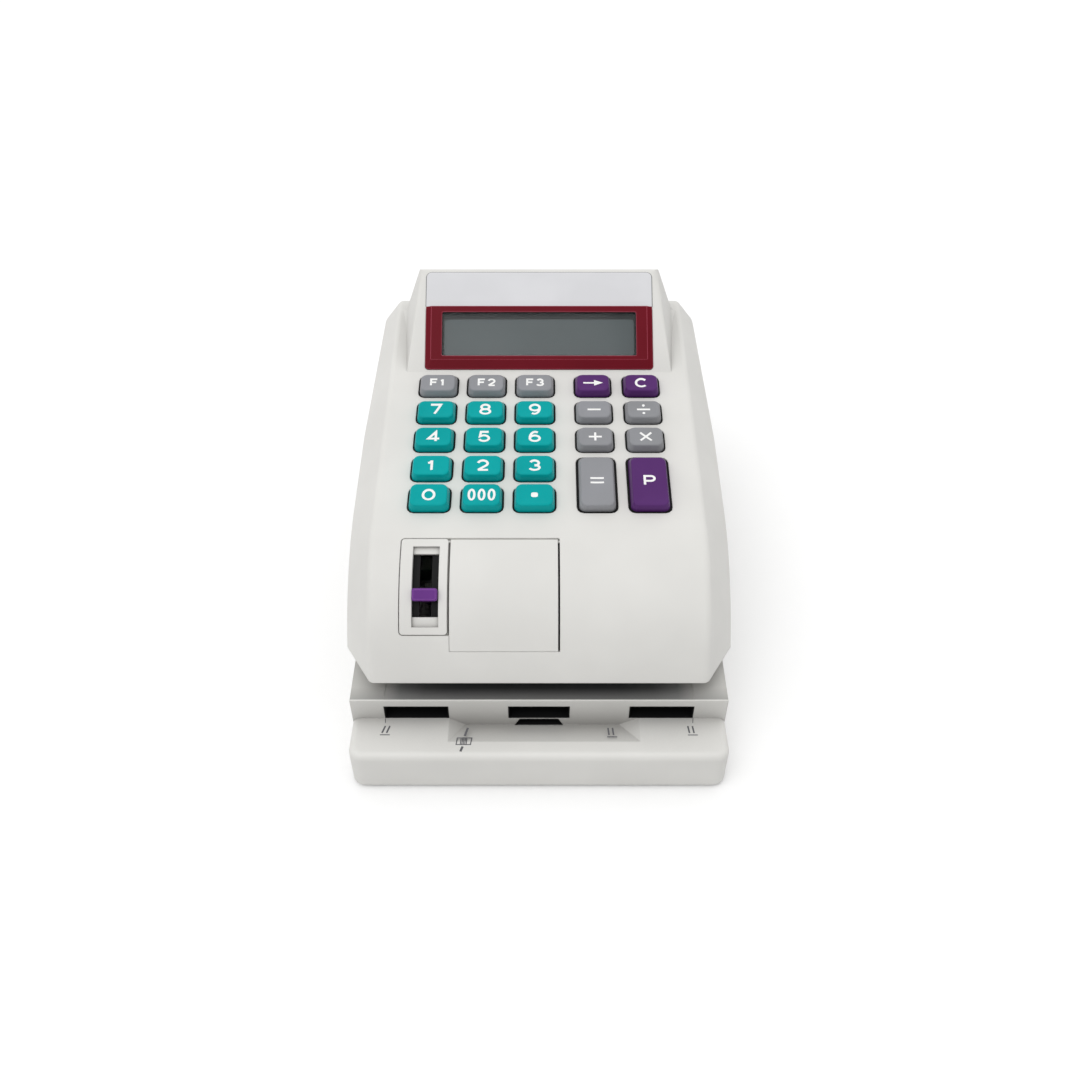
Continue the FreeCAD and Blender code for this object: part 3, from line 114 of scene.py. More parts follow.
# %% [markdown]
# ## The studio
# The machine stands on a white table in a light tent whose front is open, because the camera looks in
# there. So the white world is brightest above and grows dimmer towards the horizon, most of all at the
# front. A broad lamp, high on the left, gives the light a direction. Together they bring a colour back
# about as it was written. The floor only has to look white and take the shadow, so it is nearly pure
# white for the camera and a little greyer for bounced light.
# The Standard view shows each colour as it was mixed; a film-like view would bend them all.

# %% World
TENT_LIGHTEST = (0.0, 0.3, 0.95)    # direction in which the tent is brightest
TENT_RANGE = (-0.15, 0.55)          # how far a ray leans that way, from the dimmest to the brightest
TENT_STRENGTH = (0.3, 0.9)
WHITE = colour("FFFFFF")

scene.view_settings.view_transform = "Standard"
world = bpy.data.worlds.new("light_tent")
scene.world = world
world.use_nodes = True
tree = world.node_tree
tree.nodes.clear()
path = node(tree, "ShaderNodeLightPath")
seen = node(tree, "ShaderNodeMath",
            {0: path.outputs["Is Camera Ray"], 1: path.outputs["Is Transmission Ray"]}, operation="MAXIMUM")
direction = node(tree, "ShaderNodeTexCoord")
upward = node(tree, "ShaderNodeVectorMath", {0: direction.outputs["Generated"], 1: TENT_LIGHTEST},
              operation="DOT_PRODUCT")
falloff = node(tree, "ShaderNodeMapRange",
               {"Value": upward.outputs["Value"], "From Min": TENT_RANGE[0], "From Max": TENT_RANGE[1],
                "To Min": TENT_STRENGTH[0], "To Max": TENT_STRENGTH[1]})
tent = node(tree, "ShaderNodeBackground", {"Color": WHITE, "Strength": falloff.outputs["Result"]})
backdrop = node(tree, "ShaderNodeBackground", {"Color": WHITE, "Strength": 1.0})
mixed = node(tree, "ShaderNodeMixShader", {0: seen.outputs[0], 1: tent.outputs[0], 2: backdrop.outputs[0]})
node(tree, "ShaderNodeOutputWorld", {"Surface": mixed.outputs[0]})
print("world strength overhead:", falloff.inputs["To Max"].default_value)

# %% Lamps
LAMPS = (
    # name, direction that the light comes from, strength, apparent width in degrees
    ("lamp_high_left", (-0.4, -0.45, 1.0), 0.75, 50.0),
)
for name, toward, strength, width in LAMPS:
    lamp_data = bpy.data.lights.new(name, "SUN")
    lamp_data.energy = strength
    lamp_data.angle = math.radians(width)
    lamp = bpy.data.objects.new(name, lamp_data)
    lamp.rotation_euler = Vector(toward).to_track_quat("Z", "Y").to_euler()
    scene.collection.objects.link(lamp)
print("lamps:", len(LAMPS))


# %% Floor
def mesh_object(name, points, faces, scale=MM):
    """A mesh object from points, by default in millimetres."""
    mesh = bpy.data.meshes.new(name)
    mesh.from_pydata([Vector(point) * scale for point in points], [], faces)
    mesh.update()
    made = bpy.data.objects.new(name, mesh)
    scene.collection.objects.link(made)
    return made


FLOOR_HALF = 3000.0
SIDES = ((-1, -1), (1, -1), (1, 1), (-1, 1))
floor = mesh_object("floor", [(x * FLOOR_HALF, y * FLOOR_HALF, 0) for x, y in SIDES], [(0, 1, 2, 3)])
paper = bpy.data.materials.new("floor_paper_white")
paper.use_nodes = True
tree = paper.node_tree
tree.nodes.clear()
path = node(tree, "ShaderNodeLightPath")
bright = node(tree, "ShaderNodeBsdfDiffuse", {"Color": WHITE})
# A faint glow makes up for the little light that a table loses beside a machine.
lift = node(tree, "ShaderNodeEmission", {"Color": WHITE, "Strength": 0.04})
shown = node(tree, "ShaderNodeAddShader", {0: bright.outputs[0], 1: lift.outputs[0]})
bounced = node(tree, "ShaderNodeBsdfDiffuse", {"Color": colour("E4E4E4")})
mixed = node(tree, "ShaderNodeMixShader",
             {0: path.outputs["Is Camera Ray"], 1: bounced.outputs[0], 2: shown.outputs[0]})
node(tree, "ShaderNodeOutputMaterial", {"Surface": mixed.outputs[0]})
floor.data.materials.append(paper)
print("floor", 2 * FLOOR_HALF, "mm square")

# %% [markdown]
# ## Moulded plastic
# Most of the machine is ABS, injection moulded in a tool whose walls were spark eroded. That leaves a
# fine even grain, which breaks the gloss into a soft sheen. The grain is a noise of about a
# millimetre, turned to bump, and a second, broad noise makes the colour drift a little, as moulded
# plastic does. The real grain is nearer 0.1 mm, too fine to show, so it is drawn coarser here.
# A moulded edge is never a knife edge, and the Bevel node rounds the light on it without new geometry.
# Two things change the colour locally, and both are painted light: a painted highlight makes every edge
# lighter, and painted shade darkens an inner corner, where surfaces face each other. The first compares the
# rounded normal with the plain one, and the second uses the Ambient Occlusion node, which measures how shut
# in a point is.


# %% Moulded grain and soft edges
def grain(tree, size, depth, edge=0.0):
    """Normal of a grain size mm wide and depth mm deep, on edges rounded by edge mm."""
    place = node(tree, "ShaderNodeTexCoord")
    pits = node(tree, "ShaderNodeTexNoise", {"Vector": place.outputs["Object"], "Scale": 1 / (size * MM),
                                             "Detail": 2.0, "Roughness": 0.6})
    inputs = {"Height": pits.outputs[0], "Distance": depth * MM, "Strength": 1.0}
    if edge:
        rounded = node(tree, "ShaderNodeBevel", {"Radius": edge * MM}, samples=4)
        inputs["Normal"] = rounded.outputs[0]
    return node(tree, "ShaderNodeBump", inputs).outputs[0]


# The share of open sky at which the painted shade in a hollow is at its full darkness.
FULLY_SHUT = 0.12
# Cosines of the rounded to the plain normal, where the painted edge highlight begins and where it is full.
EDGE_TURN = (0.9997, 0.994)
# A drift covers this middle part of its noise, so that both colours show.
DRIFT_SPAN = (0.35, 0.65)


def drift(tree, first, second, size, detail=2.0):
    """Colour output that wanders between two hex colours over patches of about size mm."""
    place = node(tree, "ShaderNodeTexCoord")
    patches = node(tree, "ShaderNodeTexNoise",
                   {"Vector": place.outputs["Object"], "Scale": 1 / (size * MM), "Detail": detail})
    return ramp(tree, patches.outputs[0], zip(DRIFT_SPAN, (first, second)))


def ramp(tree, value, stops):
    """Colour output that follows a value through stops of a position and a hex colour."""
    made = node(tree, "ShaderNodeValToRGB", {"Fac": value})
    for index, (position, code) in enumerate(stops):
        stop = made.color_ramp.elements[index] if index < 2 else made.color_ramp.elements.new(position)
        stop.position = position
        stop.color = colour(code)
    return made.outputs[0]


def mixed_colour(tree, share, first, second):
    """Colour output that goes from first to second as share goes from 0 to 1."""
    made = node(tree, "ShaderNodeMix", data_type="RGBA")
    for socket, value in zip((made.inputs[0], made.inputs[6], made.inputs[7]), (share, first, second)):
        if isinstance(value, bpy.types.NodeSocket):
            tree.links.new(value, socket)
        else:
            socket.default_value = value
    return made.outputs[2]


def painted_hollow_shade(tree, plain, hollow_shade, reach):
    """The plain colour, darkened towards a hex colour of painted shade where the solid shuts itself in."""
    shut = node(tree, "ShaderNodeAmbientOcclusion", {"Distance": reach * MM}, samples=8, only_local=True)
    share = node(tree, "ShaderNodeMapRange", {"Value": shut.outputs["AO"], "From Min": 1.0,
                                              "From Max": FULLY_SHUT, "To Min": 0.0, "To Max": 1.0})
    return mixed_colour(tree, share.outputs[0], plain, colour(hollow_shade))


def painted_edge_highlight(tree, plain, edge, width):
    """The plain colour, turned to the hex colour edge along every edge, width mm to each side: a painted
    highlight.
    """
    rounded = node(tree, "ShaderNodeBevel", {"Radius": width * MM}, samples=8)
    flat = node(tree, "ShaderNodeNewGeometry")
    turned = node(tree, "ShaderNodeVectorMath", {0: rounded.outputs[0], 1: flat.outputs["Normal"]},
                  operation="DOT_PRODUCT")
    share = node(tree, "ShaderNodeMapRange", {"Value": turned.outputs["Value"], "From Min": EDGE_TURN[0],
                                              "From Max": EDGE_TURN[1], "To Min": 0.0, "To Max": 1.0})
    return mixed_colour(tree, share.outputs[0], plain, colour(edge))


def faced(name, colours, size, grained=(), **inputs):
    """A surface whose colour drifts over patches of size mm, with a grain where one is given."""
    made, tree, shader = surface(name, **inputs)
    tree.links.new(drift(tree, colours[0], colours[1], size), shader.inputs["Base Color"])
    if grained:
        tree.links.new(grain(tree, *grained), shader.inputs["Normal"])
    return made


PLASTIC_PATCH = 35.0
finishes = {}


def moulded(name, colours, roughness, size, depth, edge=0.4, shine=0.5, hollow_shade=None, edge_highlight=None):
    """A moulded plastic: two close colours, a roughness, the grain of its tool and how much it shines."""
    made, tree, shader = surface(name, Roughness=roughness, IOR=1.53, Specular_IOR_Level=shine)
    plain = drift(tree, colours[0], colours[1], PLASTIC_PATCH)
    # Where given, painted shade darkens the hollows and a painted highlight lightens the edges.
    if hollow_shade:
        plain = painted_hollow_shade(tree, plain, *hollow_shade)
    if edge_highlight:
        plain = painted_edge_highlight(tree, plain, *edge_highlight)
    tree.links.new(plain, shader.inputs["Base Color"])
    tree.links.new(grain(tree, size, depth, edge), shader.inputs["Normal"])
    return made


# ABS, spark eroded: a warm off-white with a soft sheen.
# Painted shade darkens its inner corners and hollows to a warm grey.
finishes["housing"] = moulded("abs_spark_eroded_off_white", ("E0DFDB", "E4E3DF"), 0.48, 1.1, 0.010, 0.7,
                              hollow_shade=("858380", 32.0))
# The bottom tray is the same ABS from another tool, a shade darker and duller.
finishes["bottom_plastic"] = moulded("abs_plain_moulded_grey_white", ("CFCEC9", "D4D3CE"), 0.55, 1.4, 0.012)
# Black ABS in the pockets and the lever's guide takes nearly all light.
finishes["black_plastic"] = moulded("abs_black_matt", ("0A0A0B", "0E0E0F"), 0.6, 0.9, 0.010, 0.2, 0.2)
# The display's surround is polished in the tool, and a painted highlight draws clear lines of lighter maroon
# along its bevels.
finishes["bezel_maroon"] = moulded("abs_maroon_semi_gloss", ("6A0B1B", "700D1F"), 0.3, 1.6, 0.003, 0.5, 0.08,
                                   edge_highlight=("A84A5A", 0.5))
# The lever is the same purple family as three of the keys, a little lighter, with a painted highlight along
# its edges.
finishes["lever_purple"] = moulded("abs_purple_satin", ("653082", "6D368A"), 0.36, 1.0, 0.004, 0.4, 0.12,
                                   edge_highlight=("8B55A6", 0.4))
print("moulded finishes:", sorted(finishes))

# %% [markdown]
# ## Key plastics
# Key caps are moulded in colour and touched all day, so their tool is polished smoother than the
# cover's: a satin surface with a faint grain. Three colours sort the keys by use.

# %% Key caps' finishes
finishes["key_teal"] = moulded("abs_key_teal_satin", ("03A0A1", "04A6A7"), 0.36, 0.8, 0.004, 0.0, 0.08)
finishes["key_grey"] = moulded("abs_key_grey_satin", ("909194", "96979C"), 0.38, 0.8, 0.004, 0.0, 0.1)
finishes["key_purple"] = moulded("abs_key_purple_satin", ("562D6B", "5C3373"), 0.36, 0.8, 0.004, 0.0, 0.1)

# Pad-printed ink: white, matt, a few hundredths of a millimetre thick.
PRINT_GRAIN = (0.6, 0.002)
ink_white = faced("pad_print_ink_white", ("F4F4F2", "FAFAF9"), 3.0, PRINT_GRAIN, Roughness=0.5)
# The table's marks are printed in dark grey.
ink_grey = faced("pad_print_ink_dark_grey", ("55555A", "606064"), 2.0, PRINT_GRAIN, Roughness=0.5)
print("inks:", ink_white.name, ink_grey.name)

# %% [markdown]
# ## Display
# Under the window lies a liquid crystal panel. Switched off, it is a grey-green sheet: glass over a
# polariser, with a very soft reflection. The window is clear acrylic, a little tinted, polished on
# both faces. Nearly all that is seen of it is the reflection, so it is mostly transparent.

# %% Display finishes
panel = faced("lcd_glass_over_polariser", ("586163", "5E6769"), 60.0, (0.5, 0.0006), Roughness=0.22, IOR=1.52)
finishes["lcd"] = panel
finishes["window"] = faced("acrylic_window_tinted", ("3A4244", "3E4648"), 60.0,
                           Roughness=0.04, IOR=1.49, Alpha=0.22)
# The plate above the display is lacquered aluminium: cool, nearly white, with a short soft shine.
# The lacquer is what the light meets first, so the shader isn't a metal.
finishes["plate"] = faced("aluminium_plate_satin_lacquer", ("DADADD", "DFDFE2"), 25.0, (0.7, 0.003, 0.3),
                          Roughness=0.42, IOR=1.5)
# A black print on the back of the window hides the panel's edges; where it is wide, at the top, it is painted
# shade for the shadow of the opening's upper wall.
black_print_and_shade = faced("screen_print_black_and_painted_shade", ("141516", "191A1B"), 4.0, PRINT_GRAIN, Roughness=0.4)
print("display finishes:", panel.name, black_print_and_shade.name)

# %% [markdown]
# ## Rubber
# Rubber is matt, and its highlights are wide and weak. The tyres and rollers are ground, which leaves
# fine rings round them; the feet and the dome sheet come straight from a mould.


# %% Rubber finishes
def rubber(name, colours, roughness, size, depth):
    """A rubber: two close colours, a dull surface and the grain left by mould or grindstone."""
    return faced(name, colours, 6.0, (size, depth, 0.3), Roughness=roughness, IOR=1.52)


finishes["foot_rubber"] = rubber("rubber_moulded_black", ("262627", "2D2D2E"), 0.75, 0.7, 0.02)
finishes["roller_rubber"] = rubber("nitrile_rubber_ground", ("29292B", "323234"), 0.8, 0.5, 0.03)
finishes["platen_rubber"] = rubber("hard_rubber_pad", ("37373A", "404043"), 0.7, 0.6, 0.01)
finishes["silicone"] = rubber("silicone_dome_sheet", ("B4B4AE", "BDBDB7"), 0.55, 0.9, 0.01)
finishes["ink_foam"] = rubber("foam_soaked_in_blue_ink", ("17285F", "213778"), 0.7, 0.8, 0.15)
print("finishes so far:", len(finishes))

# %% [markdown]
# ## Metals
# The frames are zinc-plated steel sheet, whose bright crystals give it patches of two greys. The shafts
# are ground and turned, so a low wave runs in rings along the machine's Y axis. A metal shows its
# surroundings, so its colour is its reflection, and the IOR stays at its default.
# A wave texture repeats every 2 pi / 20 of a unit at scale 1, so a step of 1 mm below gives lines that
# lie 2 pi mm, or 6.3 mm, apart.


# %% Metal finishes
WAVE_RATE = 20.0


def waves(tree, axis, step, **inputs):
    """A wave along one of the solid's axes, whose lines lie 2 pi times step mm apart."""
    settings = {"wave_type": "BANDS", "bands_direction": axis}
    settings["wave_profile"] = inputs.pop("wave_profile", "SIN")
    place = node(tree, "ShaderNodeTexCoord")
    return node(tree, "ShaderNodeTexWave", {"Vector": place.outputs["Object"],
                                            "Scale": 1 / (step * MM * WAVE_RATE), **inputs}, **settings)


def raised_by(tree, shader, height, distance):
    """Raise a surface by distance mm where height is 1."""
    bump = node(tree, "ShaderNodeBump", {"Height": height, "Distance": distance * MM})
    tree.links.new(bump.outputs[0], shader.inputs["Normal"])


def metal(name, colours, roughness, patch, step=0.0):
    """A metal: two close colours over patches of patch mm, with turned rings where a step is given."""
    made, tree, shader = surface(name, Metallic=1.0, Roughness=roughness)
    tree.links.new(drift(tree, colours[0], colours[1], patch, 4.0), shader.inputs["Base Color"])
    if step:
        rings = waves(tree, "Y", step, Distortion=0.4, Detail=2.0)
        raised_by(tree, shader, rings.outputs[1], 0.004)
    else:
        tree.links.new(grain(tree, patch / 3, 0.004, 0.3), shader.inputs["Normal"])
    return made


finishes["zinc_sheet"] = metal("steel_sheet_zinc_plated", ("A3A7AB", "B6BABD"), 0.38, 4.0)
finishes["screw_steel"] = metal("steel_screws_zinc_plated", ("8D9093", "9EA1A4"), 0.35, 2.0)
finishes["shaft_steel"] = metal("steel_shaft_ground", ("B0B3B7", "BDC0C3"), 0.25, 5.0, 0.5)
finishes["motor_can"] = metal("steel_can_nickel_plated", ("A9ABAC", "B8BABB"), 0.3, 8.0)
finishes["brass"] = metal("brass_turned", ("B08C4E", "BF9A58"), 0.3, 3.0, 0.4)
print("finishes so far:", len(finishes))

# %% [markdown]
# ## Nylon, circuit board and coil
# Gears are natural nylon, waxy and cream, with a little light passing under the skin. The type wheel
# is black nylon. Boards are glass fibre under green solder mask, and the coil is wound in tape.

# %% The remaining finishes
natural = moulded("nylon_natural_cream", ("E4DFCF", "EBE6D8"), 0.45, 1.2, 0.006, 0.3)
for socket, value in (("Subsurface Weight", 0.15), ("Subsurface Scale", 1.0 * MM)):
    natural.node_tree.nodes["Principled BSDF"].inputs[socket].default_value = value
finishes["nylon"] = natural
finishes["type_nylon"] = moulded("nylon_black_type_wheel", ("262628", "2E2E31"), 0.5, 1.0, 0.008, 0.2)

board, tree, shader = surface("glass_fibre_green_mask", Roughness=0.35, IOR=1.5)
# Bundles of tracks wander under the mask about 8 mm apart, a shade lighter where the copper is.
tracks = waves(tree, "X", 1.3, **{"Distortion": 6.0, "Detail": 1.0, "Detail Scale": 0.4})
copper = ramp(tree, tracks.outputs[1], ((0.45, "1D5B34"), (0.55, "2E7A48")))
tree.links.new(copper, shader.inputs["Base Color"])
raised_by(tree, shader, tracks.outputs[1], 0.02)
finishes["circuit_board"] = board

tape, tree, shader = surface("polyester_tape_wound", Roughness=0.3, IOR=1.5)
# The tape is 25 mm wide and wound once over the coil, so a single lap shows as a low step.
turns = waves(tree, "Z", 4.0, wave_profile="SAW")
tree.links.new(drift(tree, "C9A03A", "D2AA46", 5.0), shader.inputs["Base Color"])
raised_by(tree, shader, turns.outputs[1], 0.08)
finishes["coil_wrap"] = tape
print("finishes:", len(finishes))

# %% [markdown]
# ## Dress the solids
# Each solid names the slot that its finish comes from, so one loop dresses all of them.

# %% Assign the finishes
for part in frame["record"]["subparts"]:
    solid = frame["nodes"][part["node"]]
    for slot in solid.material_slots:
        slot.material = finishes[part["material_slot"]]

# %% [markdown]
# ## Key caps
# A real cap is a thin moulding: it stands on a skirt that fills its opening, leans in a little as it
# rises, turns over a soft edge and dips in the middle, so that a finger finds it. The caps of the upper
# rows lean forward: their rear wall slopes more and their tops are tilted towards the operator's hand.
# A cap could be a box with bevels, but the dip, the lean and the changing corner radius come out better
# as a stack of rounded rectangles, joined ring by ring. Each ring is a height, an inset and a radius.

# %% The keyboard's own plane
def plane(foot, slope):
    """Where a plane lies that passes a foot point, in mm from the front edge, and rises by slope degrees."""
    y, z = foot
    place = Matrix.Translation(Vector((0.0, y + FRONT_EDGE, z)) * MM)
    return place @ Matrix.Rotation(math.radians(slope), 4, "X")


FIRST_ROW = (99.0, 100.8)
KEY_SLOPE = 9.8
ROW_PITCH = 19.8
keyboard = plane(FIRST_ROW, KEY_SLOPE)

DIGITS = {"columns": (-54.2, -28.2, -2.2), "width": 20.6}
FUNCTIONS = {"columns": (28.9, 54.9), "width": 19.4}
KEY_LENGTH = 15.6
KEY_ROWS = (
    # row, names from left to right, block of columns, rows that each key spans
    (0, ("0", "000", "point"), DIGITS, 1),
    (1, ("1", "2", "3"), DIGITS, 1),
    (2, ("4", "5", "6"), DIGITS, 1),
    (3, ("7", "8", "9"), DIGITS, 1),
    (4, ("f1", "f2", "f3"), DIGITS, 1),
    (0, ("equals", "print"), FUNCTIONS, 2),
    (2, ("plus", "times"), FUNCTIONS, 1),
    (3, ("minus", "divide"), FUNCTIONS, 1),
    (4, ("arrow", "clear"), FUNCTIONS, 1),
)


print("first row", FIRST_ROW[0], "mm behind the front edge, and", FIRST_ROW[1], "mm up")


# %% One ring of a cap
def ring(width, length, radius, height, steps=6):
    """Points of a rounded rectangle, anticlockwise from the right-hand side."""
    points = []
    for index, (sx, sy) in enumerate(((1, 1), (-1, 1), (-1, -1), (1, -1))):
        for step in range(steps + 1):
            turn = math.pi / 2 * (index + step / steps)
            points.append((sx * (width / 2 - radius) + radius * math.cos(turn),
                           sy * (length / 2 - radius) + radius * math.sin(turn), height))
    return points


def stacked(rings):
    """Points and faces that join rings of equal counts, with a face over the last one."""
    count = len(rings[0])
    faces = []
    for level in range(len(rings) - 1):
        for index in range(count):
            after = (index + 1) % count
            low, high = level * count, (level + 1) * count
            faces.append((low + index, low + after, high + after, high + index))
    faces.append(tuple((len(rings) - 1) * count + index for index in range(count)))
    return [point for one in rings for point in one], faces


def smooth(made, angle):
    """Shade a mesh smooth, but keep edges that turn by more than angle degrees crisp."""
    for face in made.data.polygons:
        face.use_smooth = True
    made.data.set_sharp_from_angle(angle=math.radians(angle))


CAP_CORNER = 3.0
print("points in a ring:", len(ring(DIGITS["width"], KEY_LENGTH, CAP_CORNER, 0.0)))

# %% Build the caps
CAP_TOP = 5.2
CAP_EDGE = 0.8
CAP_DISH = 0.45
# Height, inset and corner radius, from the skirt inside the cover to the rim of the dished top.
CAP_WALL = ((-2.8, 0.0, CAP_CORNER), (1.0, 0.0, CAP_CORNER), (3.4, 0.45, 3.1), (CAP_TOP - CAP_EDGE, 0.8, 3.2))
LEAN_LOW, LEAN_HIGH = CAP_WALL[1][0], CAP_WALL[-1][0]
# The dip's rim lies this far inside the cap's outline; the shares say where rings follow the dip.
CAP_RIM = CAP_WALL[-1][1] + CAP_EDGE
DISH_SHARES = (0.12, 0.3, 0.5, 0.7, 0.88, 0.97)
EDGE_STEPS = 4
# How far the rear edge of the top stands forward of the skirt's, in each row, and in a double key.
ROW_LEAN = (0.4, 1.6, 2.0, 2.8, 2.8)
DOUBLE_LEAN = 2.8
# How far the front edge of the top stands forward of the leaning wall, and how many radians a top
# turns towards the operator for each mm of lean.
CAP_FORWARD = 0.7
TILT_PER_LEAN = 0.035
# How much smaller a cap is all round than its guide in the cover.
CAP_PLAY = 0.35
DOUBLE_PLAY = 0.7


def leaned(points, length, lean):
    """Points of a cap of this length, drawn forward and tilted the more the higher they are."""
    tilt = lean * TILT_PER_LEAN * KEY_LENGTH / max(length, KEY_LENGTH)
    made = []
    for x, y, z in points:
        share = min(max((z - LEAN_LOW) / (LEAN_HIGH - LEAN_LOW), 0.0), 1.0)
        made.append((x, y - (lean + CAP_FORWARD) / 2 * share, z + tilt * y * share))
    return made


def dish_at(inward, reach):
    """How far the top has dipped, inward mm from its rim."""
    return CAP_DISH * (1 - (1 - min(inward / reach, 1.0)) ** 2)


def top_size(width, length, lean):
    """Length of a cap's top, and how far it is from the rim of its dip to the middle."""
    top_length = length - lean + CAP_FORWARD
    return top_length, min(width, top_length) / 2 - CAP_RIM


def cap_rings(width, length, lean):
    """The rings of one cap: its leaning wall, a rounded edge, and the dished top."""
    top_length, reach = top_size(width, length, lean)
    lengths = (length, length, (length + top_length) / 2, top_length)
    rings = [ring(width - 2 * inset, long - 2 * inset, radius, height)
             for (height, inset, radius), long in zip(CAP_WALL, lengths)]
    for step in range(1, EDGE_STEPS + 1):
        turn = math.pi / 2 * step / EDGE_STEPS
        inset = CAP_WALL[-1][1] + CAP_EDGE * (1 - math.cos(turn))
        rings.append(ring(width - 2 * inset, top_length - 2 * inset, CAP_CORNER,
                          CAP_TOP - CAP_EDGE * (1 - math.sin(turn))))
    for share in DISH_SHARES:
        inset = CAP_RIM + reach * share
        # The corners tighten towards the middle, where a ring has little room left.
        radius = max(CAP_CORNER - reach * share * 0.8, 0.15)
        rings.append(ring(width - 2 * inset, max(top_length - 2 * inset, 0.4), radius,
                          CAP_TOP - dish_at(inset - CAP_RIM, reach)))
    return [leaned(points, length, lean) for points in rings]


slots = {part["node"]: part["material_slot"] for part in frame["record"]["subparts"]}
key_places = {}
for row, names, block, span in KEY_ROWS:
    lean = DOUBLE_LEAN if span > 1 else ROW_LEAN[row]
    play = DOUBLE_PLAY if span > 1 else CAP_PLAY
    for name, column in zip(names, block["columns"]):
        # The print key is as wide as a digit.
        width = (DIGITS["width"] if name == "print" else block["width"]) - 2 * play
        length = KEY_LENGTH + ROW_PITCH * (span - 1) - 2 * play
        middle = (column, ROW_PITCH * (row + (span - 1) / 2), 0)
        place = keyboard @ Matrix.Translation(Vector(middle) * MM)
        key_places[name] = (place, width, length, lean, play)
        cap = mesh_object(f"cap_{name}", *stacked(cap_rings(width, length, lean)))
        cap.data.transform(place)
        smooth(cap, 50.0)
        finish = slots[f"key_{name}"]
        cap.data.materials.append(finishes[finish])
        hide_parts(f"key_{name}")
        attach(cap, f"key_{name}")
print("caps:", len(key_places))

# %% Painted shade in the gaps round the caps
# A flat black ring just below the surface closes each gap, from close to the cap to the opening's edge:
# painted shade that stands in for the shadow in the open gap.
GAP_SHADE_DEPTH = -0.3
CAP_GAP = (0.06, 0.58)
gap_shade_points, gap_shade_faces = [], []
for place, width, length, lean, play in key_places.values():
    first = len(gap_shade_points)
    for gap in (CAP_GAP[0], CAP_GAP[1] + play):
        gap_shade_points += [place @ (Vector(point) * MM) / MM for point in
                         ring(width + 2 * gap, length + 2 * gap, CAP_CORNER + gap, GAP_SHADE_DEPTH)]
    count = (len(gap_shade_points) - first) // 2
    for index in range(count):
        here, after = first + index, first + (index + 1) % count
        gap_shade_faces.append((count + here, count + after, after, here))
gap_shade = mesh_object("key_gaps_painted_shade", gap_shade_points, gap_shade_faces)
gap_shade.data.materials.append(finishes["black_plastic"])
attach(gap_shade, "housing")
print("joints round caps:", len(key_places))

# %% [markdown]
# ## Signs on the keys
# The signs are printed: wide, even strokes, as an engraver's stencil draws them. A font would bring
# its own serifs and weights, so each sign is drawn here as strokes in a box one unit wide and high,
# and every stroke becomes a ribbon of the pen's width that follows the dip of the cap.


# %% Strokes of the signs
def arc(cx, cy, rx, ry, start, end, steps=18):
    """Points of an ellipse's arc between two angles in degrees."""
    turns = [math.radians(start + (end - start) * step / steps) for step in range(steps + 1)]
    return [(cx + rx * math.cos(turn), cy + ry * math.sin(turn)) for turn in turns]


STROKES = {
    "0": [arc(0.5, 0.5, 0.46, 0.5, 0, 360, 36)],
    "1": [[(0.56, 0.0), (0.56, 1.0)], [(0.2, 0.74), (0.4, 0.8), (0.56, 0.96)]],
    "2": [arc(0.5, 0.7, 0.4, 0.3, 170, -35) + [(0.1, 0.0)], [(0.1, 0.0), (0.95, 0.0)]],
    "3": [arc(0.49, 0.74, 0.36, 0.26, 160, -90), arc(0.49, 0.26, 0.42, 0.26, 90, -162)],
    "4": [[(0.7, 0.0), (0.7, 1.0), (0.06, 0.28), (1.0, 0.28)]],
    "5": [[(0.88, 1.0), (0.22, 1.0), (0.14, 0.52)] + arc(0.49, 0.32, 0.42, 0.32, 132, -160)],
    "6": [arc(0.5, 0.31, 0.42, 0.31, 0, 360, 30), arc(0.54, 0.36, 0.46, 0.64, 178, 62)],
    "7": [[(0.05, 1.0), (0.93, 1.0), (0.4, 0.0)]],
    "8": [arc(0.5, 0.76, 0.35, 0.24, 0, 360, 30), arc(0.5, 0.27, 0.42, 0.27, 0, 360, 30)],
    "9": [arc(0.5, 0.69, 0.42, 0.31, -180, 180, 30), arc(0.46, 0.64, 0.46, 0.64, -2, -118)],
    "F": [[(0.1, 0.0), (0.1, 1.0), (0.98, 1.0)], [(0.1, 0.53), (0.86, 0.53)]],
    "C": [arc(0.5, 0.5, 0.48, 0.5, 42, 318, 30)],
    "P": [[(0.08, 0.0), (0.08, 1.0), (0.58, 1.0)] + arc(0.62, 0.72, 0.33, 0.28, 88, -88) + [(0.08, 0.44)]],
    "minus": [[(0.0, 0.5), (1.0, 0.5)]],
    "plus": [[(0.0, 0.5), (1.0, 0.5)], [(0.5, 0.0), (0.5, 1.0)]],
    "times": [[(0.0, 0.0), (1.0, 1.0)], [(0.0, 1.0), (1.0, 0.0)]],
    "equals": [[(0.0, 0.24), (1.0, 0.24)], [(0.0, 0.76), (1.0, 0.76)]],
}
print("signs drawn as strokes:", len(STROKES))


# %% A stroke becomes a ribbon
SHARPEST = 0.45    # a corner's mitre is no longer than the pen's width over this


